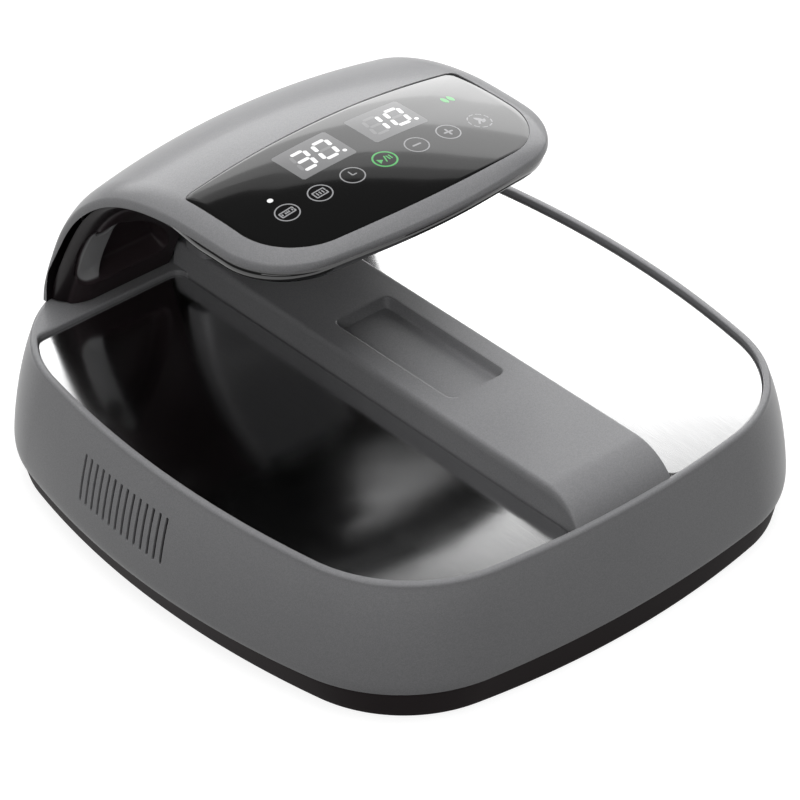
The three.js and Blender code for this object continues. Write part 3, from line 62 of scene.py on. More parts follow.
COVER_INSET, COVER_LIP, COVER_BELLY, COVER_REACH, COVER_REAR, COVER_SOFT = 1.3, 16.8, 25.8, 45.0, 74.0, 3.6
COVER_GROOVE = 1.0
LINING_INNER, LINING_BLEND, LINING_WALL, LINING_GAP, FLANGE_STEP = 39.0, 20.0, 2.4, 1.2, 1.5
GRIP_DEEP, GRIP_ROUND, GRIP_STEP, GRIP_CREASE = 5.5, 15.0, 7.0, 94.0
WELL_X, WELL_Z, WELL_RADIUS, WELL_DEEP = 101.0, 146.0, 5.0, 4.0
NECK_HALF, NECK_DEEP, NECK_CORNER = 37.6, 17.0, 7.0
MARK_LIFT, MARK_SHEET = 0.04, 0.12

# Outlines: half width, half depth, corner radius, radius of the sides, radius of the ends
BODY = np.array([HALF_WIDTH, HALF_DEPTH, 88, 505, 697], float)
RIM = np.array([173.7, 190.349, 86, 631, 625], float)
SKIRT = np.array([180.0, 193.622, 78, 568, 549], float)

# Curves by shares of the hood's reach and rise, and the wall's flare by share of its height
WALL_FLARE = [[0, 0.94], [0.03, 0.985], [0.08, 1], [0.22, 0.94], [0.4, 0.81], [0.6, 0.61], [0.8, 0.35],
              [0.955, 0.08], [0.985, 0.01], [1, -0.03]]
CROWN_LINE = [[1, 0.947], [0.947, 0.967], [0.821, 0.991], [0.683, 1], [0.526, 0.988], [0.369, 0.929],
              [0.239, 0.823], [0.133, 0.661], [0.062, 0.47], [0.023, 0.272], [0.005, 0.117], [0, 0]]
LINING_MIDDLE = [[0.129, 0.002], [0.15, 0.09], [0.176, 0.19], [0.207, 0.318], [0.248, 0.46],
                 [0.296, 0.585], [0.355, 0.69], [0.43, 0.765], [0.5, 0.8]]
LINING_EDGE = [[0.066, 0.002], [0.084, 0.1], [0.116, 0.24], [0.152, 0.375], [0.204, 0.53],
               [0.255, 0.63], [0.315, 0.705], [0.38, 0.765], [0.455, 0.8]]
NECK_LINE = [[0.268, 0.124], [0.277, 0.24], [0.3, 0.38], [0.345, 0.53], [0.405, 0.655], [0.487, 0.768]]
GRIP = [[0.88, 0.12], [0.925, 0.16], [0.94, 0.26], [0.94, 0.37], [0.925, 0.465], [0.89, 0.53],
        [0.85, 0.567], [0.79, 0.545], [0.706, 0.5], [0.579, 0.412], [0.468, 0.305], [0.405, 0.2],
        [0.405, 0.15], [0.45, 0.132], [0.6, 0.128], [0.8, 0.122]]


# ---- curves and outlines ----

def smoothstep(x, low, high):
    """Three t squared less two t cubed, t being how far x is from low to high, held in 0 to 1."""
    t = np.clip((np.asarray(x, float) - low) / (high - low), 0, 1)
    return t * t * (3 - 2 * t)


def lerp(a, b, t):
    """a plus t times the way to b."""
    return a + (b - a) * t


def arch(x, radius):
    """How far a circle of that radius has dropped at x from its top: radius less the root of its square
    less x squared."""
    return radius - np.sqrt(np.maximum(radius**2 - x**2, 0))


def round_edge(radius, steps):
    """A quarter arc from a side up to a top: for each step how far in from the side and below the top."""
    return [(radius * (1 - math.cos(t)), radius * (1 - math.sin(t)))
            for t in np.linspace(0, math.pi / 2, steps)]


def unit(vectors):
    """Rows brought to a length of one."""
    return vectors / np.linalg.norm(vectors, axis=1, keepdims=True)


def level(plan, z):
    """Points of the plan at a height."""
    return np.column_stack([plan, np.full(len(plan), z)])


def catmull(points, count=3000, closed=False):
    """Centripetal Catmull-Rom curve: each stretch is the cubic whose end slopes come from its neighbours,
    with knots apart by the square root of the distance. Resampled evenly by length."""
    p = np.asarray(points, float)
    p = np.vstack([p[-1:], p, p[:2]] if closed else [2 * p[0] - p[1], p, 2 * p[-1] - p[-2]])
    knots = np.sqrt(np.linalg.norm(np.diff(p, axis=0), axis=1))[:, None]
    p0, p1, p2, p3 = p[:-3], p[1:-2], p[2:-1], p[3:]
    d0, d1, d2 = knots[:-2], knots[1:-1], knots[2:]
    s1 = ((p1 - p0) / d0 - (p2 - p0) / (d0 + d1) + (p2 - p1) / d1) * d1
    s2 = ((p2 - p1) / d1 - (p3 - p1) / (d1 + d2) + (p3 - p2) / d2) * d1
    t = np.linspace(0, 1, 120, endpoint=False)[:, None, None]
    cubic = p1 + s1 * t + (3 * (p2 - p1) - 2 * s1 - s2) * t**2 + (2 * (p1 - p2) + s1 + s2) * t**3
    line = np.vstack([cubic.transpose(1, 0, 2).reshape(-1, p.shape[1]), p2[-1:]])
    length = np.hstack([[0], np.cumsum(np.linalg.norm(np.diff(line, axis=0), axis=1))])
    even = np.linspace(0, length[-1], count)
    return np.stack([np.interp(even, length, line[:, k]) for k in range(p.shape[1])], 1), length[-1]


class SideLine:
    """A smooth curve in the side plane, through points in shares of the hood's reach and rise."""

    def __init__(self, shares):
        away, up = np.array(shares, float).T
        places = np.stack([HOOD_REAR - away * HOOD_REACH, HOOD_BASE + up * HOOD_RISE], 1)
        line, self.length = catmull(places)
        self.share = np.linspace(0, 1, len(line))
        self.values = np.hstack([line, unit(np.gradient(line, axis=0))]).T

    def at(self, share):
        """y and z at a share of the length, and the y and z of the direction."""
        return [np.interp(share, self.share, value) for value in self.values]

    def share_at_y(self, y):
        """The share at a y, on the stretch where y only grows."""
        half = int(len(self.share) * 0.62)
        return np.interp(y, self.values[0, :half], self.share[:half])


crown_line = SideLine(CROWN_LINE)
lining_middle = SideLine(LINING_MIDDLE)
lining_edge = SideLine(LINING_EDGE)
neck_line = SideLine(NECK_LINE)
flare_line = catmull(WALL_FLARE, 600)[0]


def quarter(sizes, side_y, end_x, corner_steps=44):
    """One quarter of a bowed outline, from +x round to +y: an arc for the side, through the heights in
    side_y, the corner's arc, which touches both bows from inside, and an arc for the end, through the
    places in end_x. Returns points and outward normals."""
    half_width, half_depth, corner, side_bow, end_bow = sizes
    side, end = np.array([half_width - side_bow, 0]), np.array([0, half_depth - end_bow])
    apart = np.linalg.norm(side - end)
    way = (end - side) / apart
    along = ((side_bow - corner) ** 2 - (end_bow - corner) ** 2 + apart**2) / (2 * apart)
    off = math.sqrt((side_bow - corner) ** 2 - along**2)
    centre = side + way * along + off * np.array([-way[1], way[0]])
    first = math.atan2(centre[1] - side[1], centre[0] - side[0])
    second = math.atan2(centre[1] - end[1], centre[0] - end[0])
    side_y, end_x = np.asarray(side_y, float), np.asarray(end_x, float)
    a = np.hstack([side_y, np.linspace(side_y[-1], side_bow * math.sin(first), 14)[1:]])
    c = np.hstack([np.linspace(end_bow * math.cos(second), end_x[0], 14)[1:-1], end_x])
    angles = [np.arcsin(a / side_bow), np.linspace(first, second, corner_steps)[1:], np.arccos(c / end_bow)]
    normals = [np.stack([np.cos(t), np.sin(t)], 1) for t in angles]
    points = [m + r * n for m, r, n in zip([side, centre, end], [side_bow, corner, end_bow], normals)]
    return np.vstack(points), np.vstack(normals)


def round_all(part):
    """The closed loop from its quarter, by mirroring in y and then in x."""
    half = np.vstack([part, part[:-1][::-1] * [-1, 1]])
    return np.vstack([half, half[1:-1][::-1] * [1, -1]])


def outline(sizes):
    """The whole outline, evenly sampled."""
    return round_all(quarter(sizes, np.linspace(0, EVEN, 12), np.linspace(EVEN, 0, 12))[0])


def back_of(loop, y):
    """The x and the y of a loop's points behind a y, in order of x."""
    loop = loop[loop[:, 1] > y]
    return loop[np.argsort(loop[:, 0])].T


def distance_to(loop, points):
    """Signed distance to a closed polygon: the least distance to any edge, negative where a ray to the
    right crosses the edges an odd number of times."""
    a, b = loop, np.roll(loop, -1, axis=0)
    ab = b - a
    flat = points.reshape(-1, 2)
    out = np.empty(len(flat))
    for start in range(0, len(flat), 20000):
        p = flat[start:start + 20000, None, :]
        t = np.clip(((p - a) * ab).sum(2) / np.maximum((ab * ab).sum(1), 1e-12), 0, 1)
        d = np.sqrt(((p - a - ab * t[..., None]) ** 2).sum(2)).min(1)
        straddle = (a[:, 1] > p[..., 1]) != (b[:, 1] > p[..., 1])
        cross = a[:, 0] + (p[..., 1] - a[:, 1]) * ab[:, 0] / np.where(ab[:, 1] == 0, 1e-12, ab[:, 1])
        odd = (straddle & (p[..., 0] < cross)).sum(1) % 2 == 1
        out[start:start + 20000] = np.where(odd, -d, d)
    return out.reshape(points.shape[:-1])


def box_distance(x, y, half_x, half_y, radius):
    """Signed distance to a rectangle with round corners, measured from its centre."""
    qx, qy = np.abs(x) - half_x + radius, np.abs(y) - half_y + radius
    return np.hypot(np.maximum(qx, 0), np.maximum(qy, 0)) + np.minimum(np.maximum(qx, qy), 0) - radius


def rounded(loop, radius):
    """A convex loop, anticlockwise, grown by a radius with round corners: each point moves out along the
    normals between its two edges, in steps of at most five degrees."""
    ahead = np.roll(loop, -1, axis=0) - loop
    angle = np.arctan2(-ahead[:, 0], ahead[:, 1])
    out = []
    for point, before, after in zip(loop, np.roll(angle, 1), angle):
        turn = (after - before + math.pi) % (2 * math.pi) - math.pi
        steps = max(1, math.ceil(abs(turn) / math.radians(5)))
        for t in (np.arange(steps + 1) / steps if steps > 1 else [0.5]):
            a = before + turn * t
            out.append(point + radius * np.array([math.cos(a), math.sin(a)]))
    return np.array(out)


def pocket(gap):
    """Outline of the right foot plate's pocket, less a gap: the rim's inner line, cut straight along the
    raised middle and at the back, with round corners."""
    loop = outline(RIM - (RIM_WIDTH + gap + PLATE_CORNER))
    inner, rear = RIDGE_FOOT + gap + PLATE_CORNER, PLATE_REAR - gap - PLATE_CORNER
    x, y = loop[np.argsort(loop[:, 1])].T
    right = x > 0
    x, y = x[right], y[right]
    front = np.interp(inner, x[y < -100], y[y < -100])
    outer = np.interp(rear, y, x)
    inside = (x > inner + 0.01) & (y < rear - 0.01)
    line = np.vstack([[inner, front], np.column_stack([x, y])[inside], [outer, rear], [inner, rear]])
    return rounded(line, PLATE_CORNER)


# ---- meshes ----

def grid(points, wrap=False, look=0, shade=None):
    """A sheet of quads over points given as rows by columns by three; wrap joins the last column to the
    first. One part of a piece: flat points, faces, look and shade."""
    rows, columns = points.shape[:2]
    r, c = np.meshgrid(np.arange(rows - 1), np.arange(columns if wrap else columns - 1), indexing="ij")
    d = (c + 1) % columns
    faces = np.stack([r * columns + c, r * columns + d, (r + 1) * columns + d, (r + 1) * columns + c], -1)
    shade = np.broadcast_to(0.0 if shade is None else shade, points.shape[:2]).reshape(-1)
    return points.reshape(-1, 3), faces.reshape(-1, 4), look, shade


def tube(points):
    """A closed skin over rows that are closed loops, with each end drawn in to its own middle."""
    first, last = [np.repeat(points[[k]].mean(1, keepdims=True), points.shape[1], 1) for k in (0, -1)]
    return [grid(np.vstack([first, points, last]), True)]


def slab(top, bottom, look=0):
    """A closed plate between two grids of one shape: each row runs over the top and back below, and the
    first and last rows are closed by strips from top to bottom."""
    loop = np.hstack([top, bottom[:, ::-1]])
    return [grid(loop, True, look)] + [grid(np.stack([top[k], bottom[k]]), False, look) for k in (0, -1)]


def sheet_rows(loop, middle, scales, low, top, soft):
    """Rows of a closed sheet, each a loop of the plan and a height: out over its underside, up its edge,
    round the upper edge and back over its top."""
    inward = unit(middle - loop)
    rows = [(lerp(middle, loop, scale), low) for scale in scales] + [(loop, low)]
    rows += [(loop + inward * by, top - down) for by, down in round_edge(soft, 5)]
    return rows + [(lerp(middle, loop, scale), top) for scale in scales[::-1]]


def linked(name, data):
    """A new object for some data, in the scene."""
    obj = bpy.data.objects.new(name, data)
    scene.collection.objects.link(obj)
    return obj


def whole(cells):
    """The rows of corners that are all different."""
    return cells[(np.diff(np.sort(cells, axis=1), axis=1) > 0).all(1)].tolist()


def piece(name, parts, looks, stands_for=(), body="base", sharp=40):
    """One object from parts in millimetres. Equal points merge, a quad that lost a corner becomes a
    triangle, and the faces are turned outwards."""
    starts = np.cumsum([0] + [len(part[0]) for part in parts])
    faces = np.vstack([part[1] + start for part, start in zip(parts, starts)])
    kinds = np.hstack([np.full(len(part[1]), part[2]) for part in parts])
    shade = np.hstack([part[3] for part in parts])
    places, first, back = np.unique(np.round(np.vstack([part[0] for part in parts]), 4) + 0.0,
                                    axis=0, return_index=True, return_inverse=True)
    faces = back.reshape(-1)[faces]
    cells, looks_of = [], []
    for kind in sorted(set(kinds.tolist())):
        q = faces[kinds == kind]
        found = whole(q)
        for keep, one, two in (((0, 1, 2), 2, 3), ((0, 1, 3), 1, 2), ((0, 2, 3), 0, 1), ((0, 1, 2), 3, 0)):
            found += whole(q[q[:, one] == q[:, two]][:, keep])
        cells += found
        looks_of += [kind] * len(found)
    mesh = bpy.data.meshes.new(name)
    mesh.from_pydata(places / 1000, [], cells)
    mesh.polygons.foreach_set("material_index", np.array(looks_of, np.int32))
    mesh.attributes.new("shade", "FLOAT", "POINT").data.foreach_set("value", shade[first].astype(np.float32))
    skin = bmesh.new()
    skin.from_mesh(mesh)
    bmesh.ops.recalc_face_normals(skin, faces=skin.faces)
    skin.to_mesh(mesh)
    skin.free()
    for look in looks:
        mesh.materials.append(look)
    mesh.shade_smooth()
    mesh.set_sharp_from_angle(angle=math.radians(sharp))
    mesh.update()
    obj = linked(name, mesh)
    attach(obj, body)
    if stands_for:
        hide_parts(*stands_for)


# ---- materials ----

class Value:
    """A number made by nodes. +, - and * and the named operations add Math nodes."""

    def __init__(self, look, socket):
        self.look, self.socket = look, socket

    def maths(self, operation, *items):
        node = self.look.node("Math", dict(enumerate(items)), {"operation": operation})
        return Value(self.look, node.outputs[0])

    def __add__(self, other):
        return self.maths("ADD", self, other)

    def __sub__(self, other):
        return self.maths("SUBTRACT", self, other)

    def __rsub__(self, other):
        return self.maths("SUBTRACT", other, self)

    def __mul__(self, other):
        return self.maths("MULTIPLY", self, other)

    __radd__, __rmul__ = __add__, __mul__

    def sine(self):
        return self.maths("SINE", self)

    def ramp(self, low, high):
        """0 below low, 1 above high, smooth between."""
        node = self.look.node("MapRange", {"Value": self, "From Min": low, "From Max": high},
                              {"interpolation_type": "SMOOTHSTEP"})
        return Value(self.look, node.outputs[0])


class Look:
    """A material: one method adds a node, the others are built on it."""

    def __init__(self, name):
        self.material = bpy.data.materials.new(name)
        self.material.use_nodes = True
        self.tree = self.material.node_tree
        self.tree.nodes.clear()
        self.place = self.node("TexCoord").outputs["Object"]

    def node(self, kind, inputs=None, settings=None):
        """A node of that type. Its settings are set first, then values or links go into its sockets."""
        node = self.tree.nodes.new("ShaderNode" + kind)
        for key, value in (settings or {}).items():
            setattr(node, key, value)
        for key, value in (inputs or {}).items():
            value = value.socket if isinstance(value, Value) else value
            if isinstance(value, bpy.types.NodeSocket):
                self.tree.links.new(value, node.inputs[key])
            else:
                node.inputs[key].default_value = value
        return node

    def noise(self, scale, detail=2.0, stretch=None):
        """Noise in object space, scale per metre, about 0.5; stretch scales the axes apart first."""
        where = self.place
        if stretch:
            where = self.node("VectorMath", {0: where, 1: stretch}, {"operation": "MULTIPLY"}).outputs[0]
        node = self.node("TexNoise", {"Vector": where, "Scale": scale, "Detail": detail})
        return Value(self, node.outputs[0])

    def cells(self, scale, feature="F1"):
        """Distance to the nearest of scattered points, or to the nearest edge between them."""
        node = self.node("TexVoronoi", {"Vector": self.place, "Scale": scale}, {"feature": feature})
        return Value(self, node.outputs["Distance"])

    def cell_value(self, scale):
        """One random number for each cell of scattered points."""
        return self.first(self.node("TexVoronoi", {"Vector": self.place, "Scale": scale}).outputs["Color"])

    def first(self, vector):
        """The first of a vector's three numbers."""
        return Value(self, self.node("SeparateXYZ", {0: vector}).outputs[0])

    def shade(self):
        """Painted shade kept on the mesh: 0 on the open surface, 1 down in a recess, below 0 on a scoop that
        gets a painted highlight.
        """
        return Value(self, self.node("Attribute", None, {"attribute_name": "shade"}).outputs["Fac"])

    def mix(self, factor, a, b):
        """The colour a at 0 and b at 1. Colours are three linear values or sockets."""
        a, b = [(*c, 1) if isinstance(c, tuple) else c for c in (a, b)]
        return self.node("Mix", {0: factor, 6: a, 7: b}, {"data_type": "RGBA"}).outputs[2]

    def bump(self, height, metres):
        """Bump of a height from 0 to 1, that many metres deep."""
        return self.node("Bump", {"Height": height, "Distance": metres}).outputs[0]

    def finish(self, colour, roughness, others):
        """The shader and its output, with the shader's other sockets by name."""
        shader = self.node("BsdfPrincipled", {"Base Color": colour, "Roughness": roughness, **others})
        self.node("OutputMaterial", {"Surface": shader.outputs[0]})
        return self.material


def silver_paint():
    """Silver lacquer: random flake cells and a soft cloud mix two greys, and noise lifts a slight orange peel
    under a thin coat. Painted shade: near black, rougher and bare of metal and coat where the shade is high."""
    look = Look("silver_paint")
    flake = look.cell_value(2600)
    cloud = look.noise(14, 3)
    tint = look.mix((flake * 0.6 + cloud * 0.4).ramp(0.1, 0.9), (0.215, 0.215, 0.223), (0.272, 0.272, 0.278))
    # Painted shade: where the shade attribute is high (the slots, the panel's seat, the hood's inner face)
    # the lacquer turns near black and rough, with no metal or coat
    deep = look.shade().ramp(0.12, 0.6)
    return look.finish(
        look.mix(deep, tint, (0.010, 0.007, 0.008)), 0.36 + (flake - 0.5) * 0.08 + deep * 0.3,
        {"Normal": look.bump(look.noise(420, 1), 0.000035), "Metallic": (1.0 - deep) * 0.02,
         "Coat Weight": (1.0 - deep) * 0.1, "Coat Roughness": 0.12, "Specular IOR Level": 0.2})


def moulded(name, tint, roughness, grain=0.00003, scale=1800, sheen=0.5):
    """Moulded plastic or rubber: a colour that drifts a little by a cloud and a fine grain, which also
    lifts the surface and its gloss. Painted shade: a quarter as bright where the shade is high."""
    look = Look(name)
    cloud, grains = look.noise(30, 3), look.noise(scale, 2)
    colour = look.mix(cloud * 0.6 + grains * 0.4, tuple(c * 0.8 for c in tint), tuple(c * 1.25 for c in tint))
    # Painted shade: colour falls to a quarter where the shade attribute is high
    colour = look.mix(look.shade().ramp(0.3, 1.0), colour, tuple(c * 0.25 for c in tint))
    return look.finish(colour, roughness + (grains - 0.5) * 0.12,
                       {"Normal": look.bump(grains, grain), "Specular IOR Level": sheen})


def arm_plastic():
    """The arm's lining: dark brown-black satin plastic, with painted shade, near black, down in a recess, and
    a painted highlight, pale grey, on the scoop where the shade is below 0."""
    look = Look("arm_plastic")
    cloud, grains = look.noise(30, 3), look.noise(2400, 2)
    colour = look.mix(cloud * 0.6 + grains * 0.4, (0.027, 0.019, 0.021), (0.042, 0.030, 0.034))
    # Painted shade: near black down in a recess
    colour = look.mix(look.shade().ramp(0.3, 0.9), colour, (0.009, 0.006, 0.007))
    # Painted highlight: pale grey on the scoop, where the shade attribute is below 0
    colour = look.mix((0.0 - look.shade()).ramp(0.1, 0.9), colour, (0.34, 0.34, 0.345))
    return look.finish(colour, 0.32 + (grains - 0.5) * 0.1,
                       {"Normal": look.bump(grains, 0.00002), "Specular IOR Level": 0.15})


def piano_black(name, coat):
    """Polished black: dust where noise is high, a little paler and rougher, and a long, shallow ripple."""
    look = Look(name)
    dust = look.noise(900, 2).ramp(0.68, 0.8)
    return look.finish(
        look.mix(dust, (0.002, 0.002, 0.002), (0.007, 0.007, 0.007)),
        0.06 + dust * 0.12 + look.noise(12, 2) * 0.03,
        {"Normal": look.bump(look.noise(26, 1), 0.00008), "Coat Weight": coat, "Coat Roughness": 0.03})


def polished_steel():
    """Polished sheet steel: metal with a fine grain along y in its colour, gloss and height, and rougher
    smudges where noise is high."""
    look = Look("steel_plate")
    grain = look.noise(1500, 2, (1.0, 0.03, 1.0))
    smudge = look.noise(24, 4).ramp(0.45, 0.8)
    return look.finish(
        look.mix(grain, (0.60, 0.60, 0.605), (0.70, 0.70, 0.70)),
        0.13 + smudge * 0.05 + (grain - 0.5) * 0.04,
        {"Normal": look.bump(grain, 0.000004), "Metallic": 1.0})


def zinc_steel():
    """Zinc-plated steel: metal that drifts from blue to yellow by noise, with a random gloss in each cell."""
    look = Look("zinc_steel")
    return look.finish(
        look.mix(look.noise(60, 2), (0.42, 0.44, 0.48), (0.52, 0.50, 0.44)),
        0.3 + look.cell_value(420) * 0.15,
        {"Normal": look.bump(look.noise(700, 2), 0.00001), "Metallic": 0.95})


def circuit_board():
    """Circuit board: green mask, paler raised tracks along the edges of a cell pattern, dull pads near its
    points."""
    look = Look("circuit_board")
    tracks = 1.0 - look.cells(260, "DISTANCE_TO_EDGE").ramp(0.03, 0.09)
    pads = 1.0 - look.cells(330).ramp(0.10, 0.14)
    mask = look.mix(tracks, (0.010, 0.085, 0.035), (0.030, 0.160, 0.070))
    return look.finish(look.mix(pads, mask, (0.45, 0.42, 0.36)), 0.35 + look.noise(200, 2) * 0.1,
                       {"Normal": look.bump(tracks, 0.00004)})


def iron_core():
    """Transformer: stacked laminations as fine bands along x, with brown varnish by noise over them."""
    look = Look("iron_core")
    band = (look.first(look.place) * 9000.0).sine().ramp(-0.6, 0.6)
    varnish = look.noise(120, 3).ramp(0.55, 0.75)
    steel = look.mix(band, (0.05, 0.05, 0.055), (0.16, 0.16, 0.17))
    return look.finish(look.mix(varnish * 0.5, steel, (0.16, 0.07, 0.03)), 0.5 + band * 0.1,
                       {"Normal": look.bump(band, 0.00005), "Metallic": 0.6})


def lit(name, tint):
    """An even glow, at most 8 percent weaker by fine noise: light through the glass, and a painted glow on
    the unlit segments.
    """
    look = Look(name)
    even = look.noise(500, 2)
    glow = look.mix(even, tuple(c * 0.92 for c in tint), tint)
    return look.finish((0.01, 0.01, 0.01, 1), 0.15 + even * 0.05,
                       {"Emission Color": glow, "Emission Strength": 1.0})


SILVER = silver_paint()
BLACK = moulded("black_plastic", (0.008, 0.0045, 0.005), 0.65, sheen=0.1)
LINING = arm_plastic()
GLOSS = piano_black("gloss_black", 1.0)
GLASS = piano_black("dark_glass", 0.25)
STEEL = polished_steel()
ZINC = zinc_steel()
RUBBER = moulded("foot_rubber", (0.018, 0.018, 0.018), 0.82, 0.00008, 900)
SILICONE = moulded("silicone", (0.06, 0.06, 0.062), 0.6, 0.00002, 700)
BOARD = circuit_board()
CORE = iron_core()
LAMP = moulded("lamp_module", (0.30, 0.30, 0.29), 0.4, 0.00002, 1200)
WINDOW, LIGHT, GREY, GREEN, UNLIT_PAINTED_GLOW = range(5)
# The unlit segments glow faintly grey: a painted glow for the light they catch under the glass
MARKS = [lit("window_glow", (0.19, 0.19, 0.194)), lit("digit_light", (1.0, 1.0, 1.0)),
         lit("mark_grey", (0.36, 0.36, 0.37)), lit("mark_green", (0.10, 0.50, 0.14)),
         lit("unlit_segment_painted_glow", (0.26, 0.26, 0.264))]


# ---- the base: wall and rim, deck, raised middle, skirt, plates ----

def wall_sizes(z):
    """Outline of the side wall at a height: between the rim's and the body's by the flare there."""
    share = (z - SKIRT_TOP) / (RIM_HEIGHT - SKIRT_TOP)
    return lerp(RIM, BODY, min(np.interp(share, *flare_line.T), 1))


def wall_shell():
    """The wall's section swept round the outline: inner face, bottom lip, flared outer face, round rim,
    flat band and inner edge. The cooling slots and the rear panel's seat are pushed in along the outline's
    normals wherever the distance to a capsule or a rounded box is negative. The inner face stands clear
    behind the panel's seat."""
    offsets = np.array([-2.9, -1.3, -1.02, -0.93, -0.84, -0.72, -0.45, 0, 0.45, 0.72, 0.84, 0.93, 1.02, 1.3])
    centres = SLOT_MIDDLE + (np.arange(-SLOT_PAIRS, SLOT_PAIRS) + 0.5) * SLOT_PITCH
    side_y = np.unique(np.round(np.abs(np.hstack([[0, 64]] + [c + offsets for c in centres])), 2))
    side_y = side_y[np.hstack([[True], np.diff(side_y) > 0.06])]
    half, soft = PANEL_HALF, 0.8
    beside = half + np.array([0.5, 0.25, 0.1, -0.05, -0.2, -0.5, -1.5])
    end_x = np.hstack([np.linspace(EVEN, half + 1, 8), beside, np.linspace(half - 3, 0, 12)])
    rows, shades = [], []

    def ring(sizes, z, cut=False, inner=False):
        points, normals = [round_all(part) for part in quarter(sizes, side_y, end_x)]
        x, y = points.T
        depth = np.zeros(len(points))
        if inner:
            depth = (PANEL_DEEP + 1) * (1 - smoothstep(np.abs(x), half + 2, half + 8)) * (y > BACK_WALL)
        if cut:
            slot = np.clip(np.floor((y - SLOT_MIDDLE) / SLOT_PITCH), -SLOT_PAIRS, SLOT_PAIRS - 1)
            aside = y - SLOT_MIDDLE - (slot + 0.5) * SLOT_PITCH
            line = np.clip(z, SLOT_LOW + SLOT_WIDTH / 2, SLOT_HIGH - SLOT_WIDTH / 2)
            off = np.where(np.abs(x) > SIDE_WALL, np.hypot(aside, z - line) - SLOT_WIDTH / 2, np.inf)
            seat = box_distance(x, z - (PANEL_LOW + PANEL_HIGH) / 2, half, (PANEL_HIGH - PANEL_LOW) / 2, 2)
            seat = np.where(y > BACK_WALL, seat, np.inf)
            depth = SLOT_DEEP * (1 - smoothstep(off, -0.2, 0.08))
            depth = depth + PANEL_DEEP * (1 - smoothstep(seat, -0.2, 0.1))
        rows.append(level(points - normals * depth[:, None], z))
        # Painted shade: the slots, the panel's seat and the inner face behind it keep their depth as shade,
        # which the paint turns near black
        shades.append(np.minimum(depth / SLOT_DEEP, 1))

    top, low, start = RIM_HEIGHT, SKIRT_TOP, RIM_HEIGHT - RIM_SOFT
    ring(RIM - RIM_WIDTH, LEDGE_TOP - 3)
    for z in (66, 45, low):
        ring(wall_sizes(z) - WALL, z, inner=True)
    for up, by in round_edge(soft, 5):
        ring(wall_sizes(low + soft) - by, low + up)
    levels = [[low + 1.6, 22.5, 24.5, 33, 37, 40.5, 48, 52, 63, 67, 75, 78, 80.5, 82.5, start]]
    levels += [[SLOT_LOW + d, SLOT_HIGH - d] for d in (-0.5, -0.1, 0.05, 0.2, 0.4, 0.65, 1.0, 1.6)]
    levels += [[PANEL_LOW + d, PANEL_HIGH - d] for d in (-0.4, -0.1, 0.05, 0.2, 0.6, 1.4, 2.2)]
    for z in np.unique(np.round(np.hstack(levels), 2)):
        ring(wall_sizes(z), z, cut=PANEL_LOW - 1 < z < SLOT_HIGH + 1)
    for by, down in round_edge(RIM_SOFT, 9)[1:]:
        ring(wall_sizes(start) - by, top - down)
    for down, by in round_edge(soft, 5):
        ring(RIM - RIM_WIDTH + by, top - down)
    ring(RIM - RIM_WIDTH, LEDGE_TOP + 1)
    ring(RIM - RIM_WIDTH, LEDGE_TOP - 3)
    return [grid(np.array(rows), True, 0, np.array(shades))]


def rear_deck():
    """The deck behind the plates: for each x, a line back from the pockets' rear edge to the rim, with a
    round front edge, level with the rim's band."""
    edge = back_of(pocket(0), DECK_FRONT)
    rim = back_of(outline(RIM - RIM_SOFT - 0.2), EVEN)
    right = [np.linspace(0, RIDGE_FOOT, 14), np.linspace(RIDGE_FOOT, edge[0, -1], 60), edge[0]]
    right = np.unique(np.round(np.hstack(right), 3))
    x = np.hstack([-right[::-1], right[1:]])
    front = np.where(np.abs(x) < RIDGE_FOOT, DECK_FRONT, np.interp(np.abs(x), *edge))
    rear = np.interp(x, *rim)
    top = RIM_HEIGHT + 0.015
    path = [(by, 0, top - down) for by, down in round_edge(DECK_SOFT, 6)]
    path += [(DECK_SOFT, share, top) for share in (0.25, 0.5, 0.75, 1)]
    upper = [level(np.column_stack([x, lerp(front + by, rear, share)]), z) for by, share, z in path]
    upper = np.array(upper)
    return slab(upper, upper * [1, 1, 0] + [0, 0, LEDGE_TOP])


def ridge():
    """The raised middle: a trapezium section with round upper edges, whose height falls at the front by a
    root of one less the square of the way into the roll. The tray is a dip by the distance to a rounded
    rectangle."""
    y = np.hstack([RIDGE_FRONT + RIDGE_ROLL * (1 - np.cos(np.linspace(0, math.pi / 2, 22))),
                   np.linspace(RIDGE_FRONT + RIDGE_ROLL + 2, TRAY_FRONT - 5.5, 18),
                   np.arange(TRAY_FRONT - 3.5, TRAY_REAR + 3.1, 0.8),
                   np.linspace(TRAY_REAR + 7, RIDGE_REAR, 24)])
    into = np.clip((y - RIDGE_FRONT) / RIDGE_ROLL, 0, 1)
    tall = (RIDGE_TOP - RIDGE_LOW) * np.sqrt(1 - 0.998 * (1 - into) ** 2)
    foot = RIDGE_FOOT - RIDGE_TAPER * (1 - into)
    soft = np.minimum(RIDGE_SOFT, tall * 0.8)
    edge = foot + (RIDGE_HEAD - RIDGE_FOOT) * tall / (RIDGE_TOP - RIDGE_LOW)
    columns = [(lerp(foot, edge, t * (tall - soft) / tall), t * (tall - soft)) for t in np.linspace(0, 1, 7)]
    columns += [(edge - by, tall - down) for by, down in round_edge(soft, 8)[1:]]
    middle, reach = (TRAY_FRONT + TRAY_REAR) / 2, (TRAY_REAR - TRAY_FRONT) / 2
    for t in np.linspace(1, 0, 60)[1:]:
        x = (edge - soft) * t
        off = box_distance(x, y - middle, TRAY_HALF, reach, TRAY_CORNER)
        columns.append((x, tall - TRAY_DEEP * smoothstep(-off, -0.25, TRAY_DRAFT)))
    half = np.array([np.column_stack([x, y, RIDGE_LOW + z]) for x, z in columns]).transpose(1, 0, 2)
    return tube(np.hstack([half, half[:, :-1][:, ::-1] * [-1, 1, 1]]))


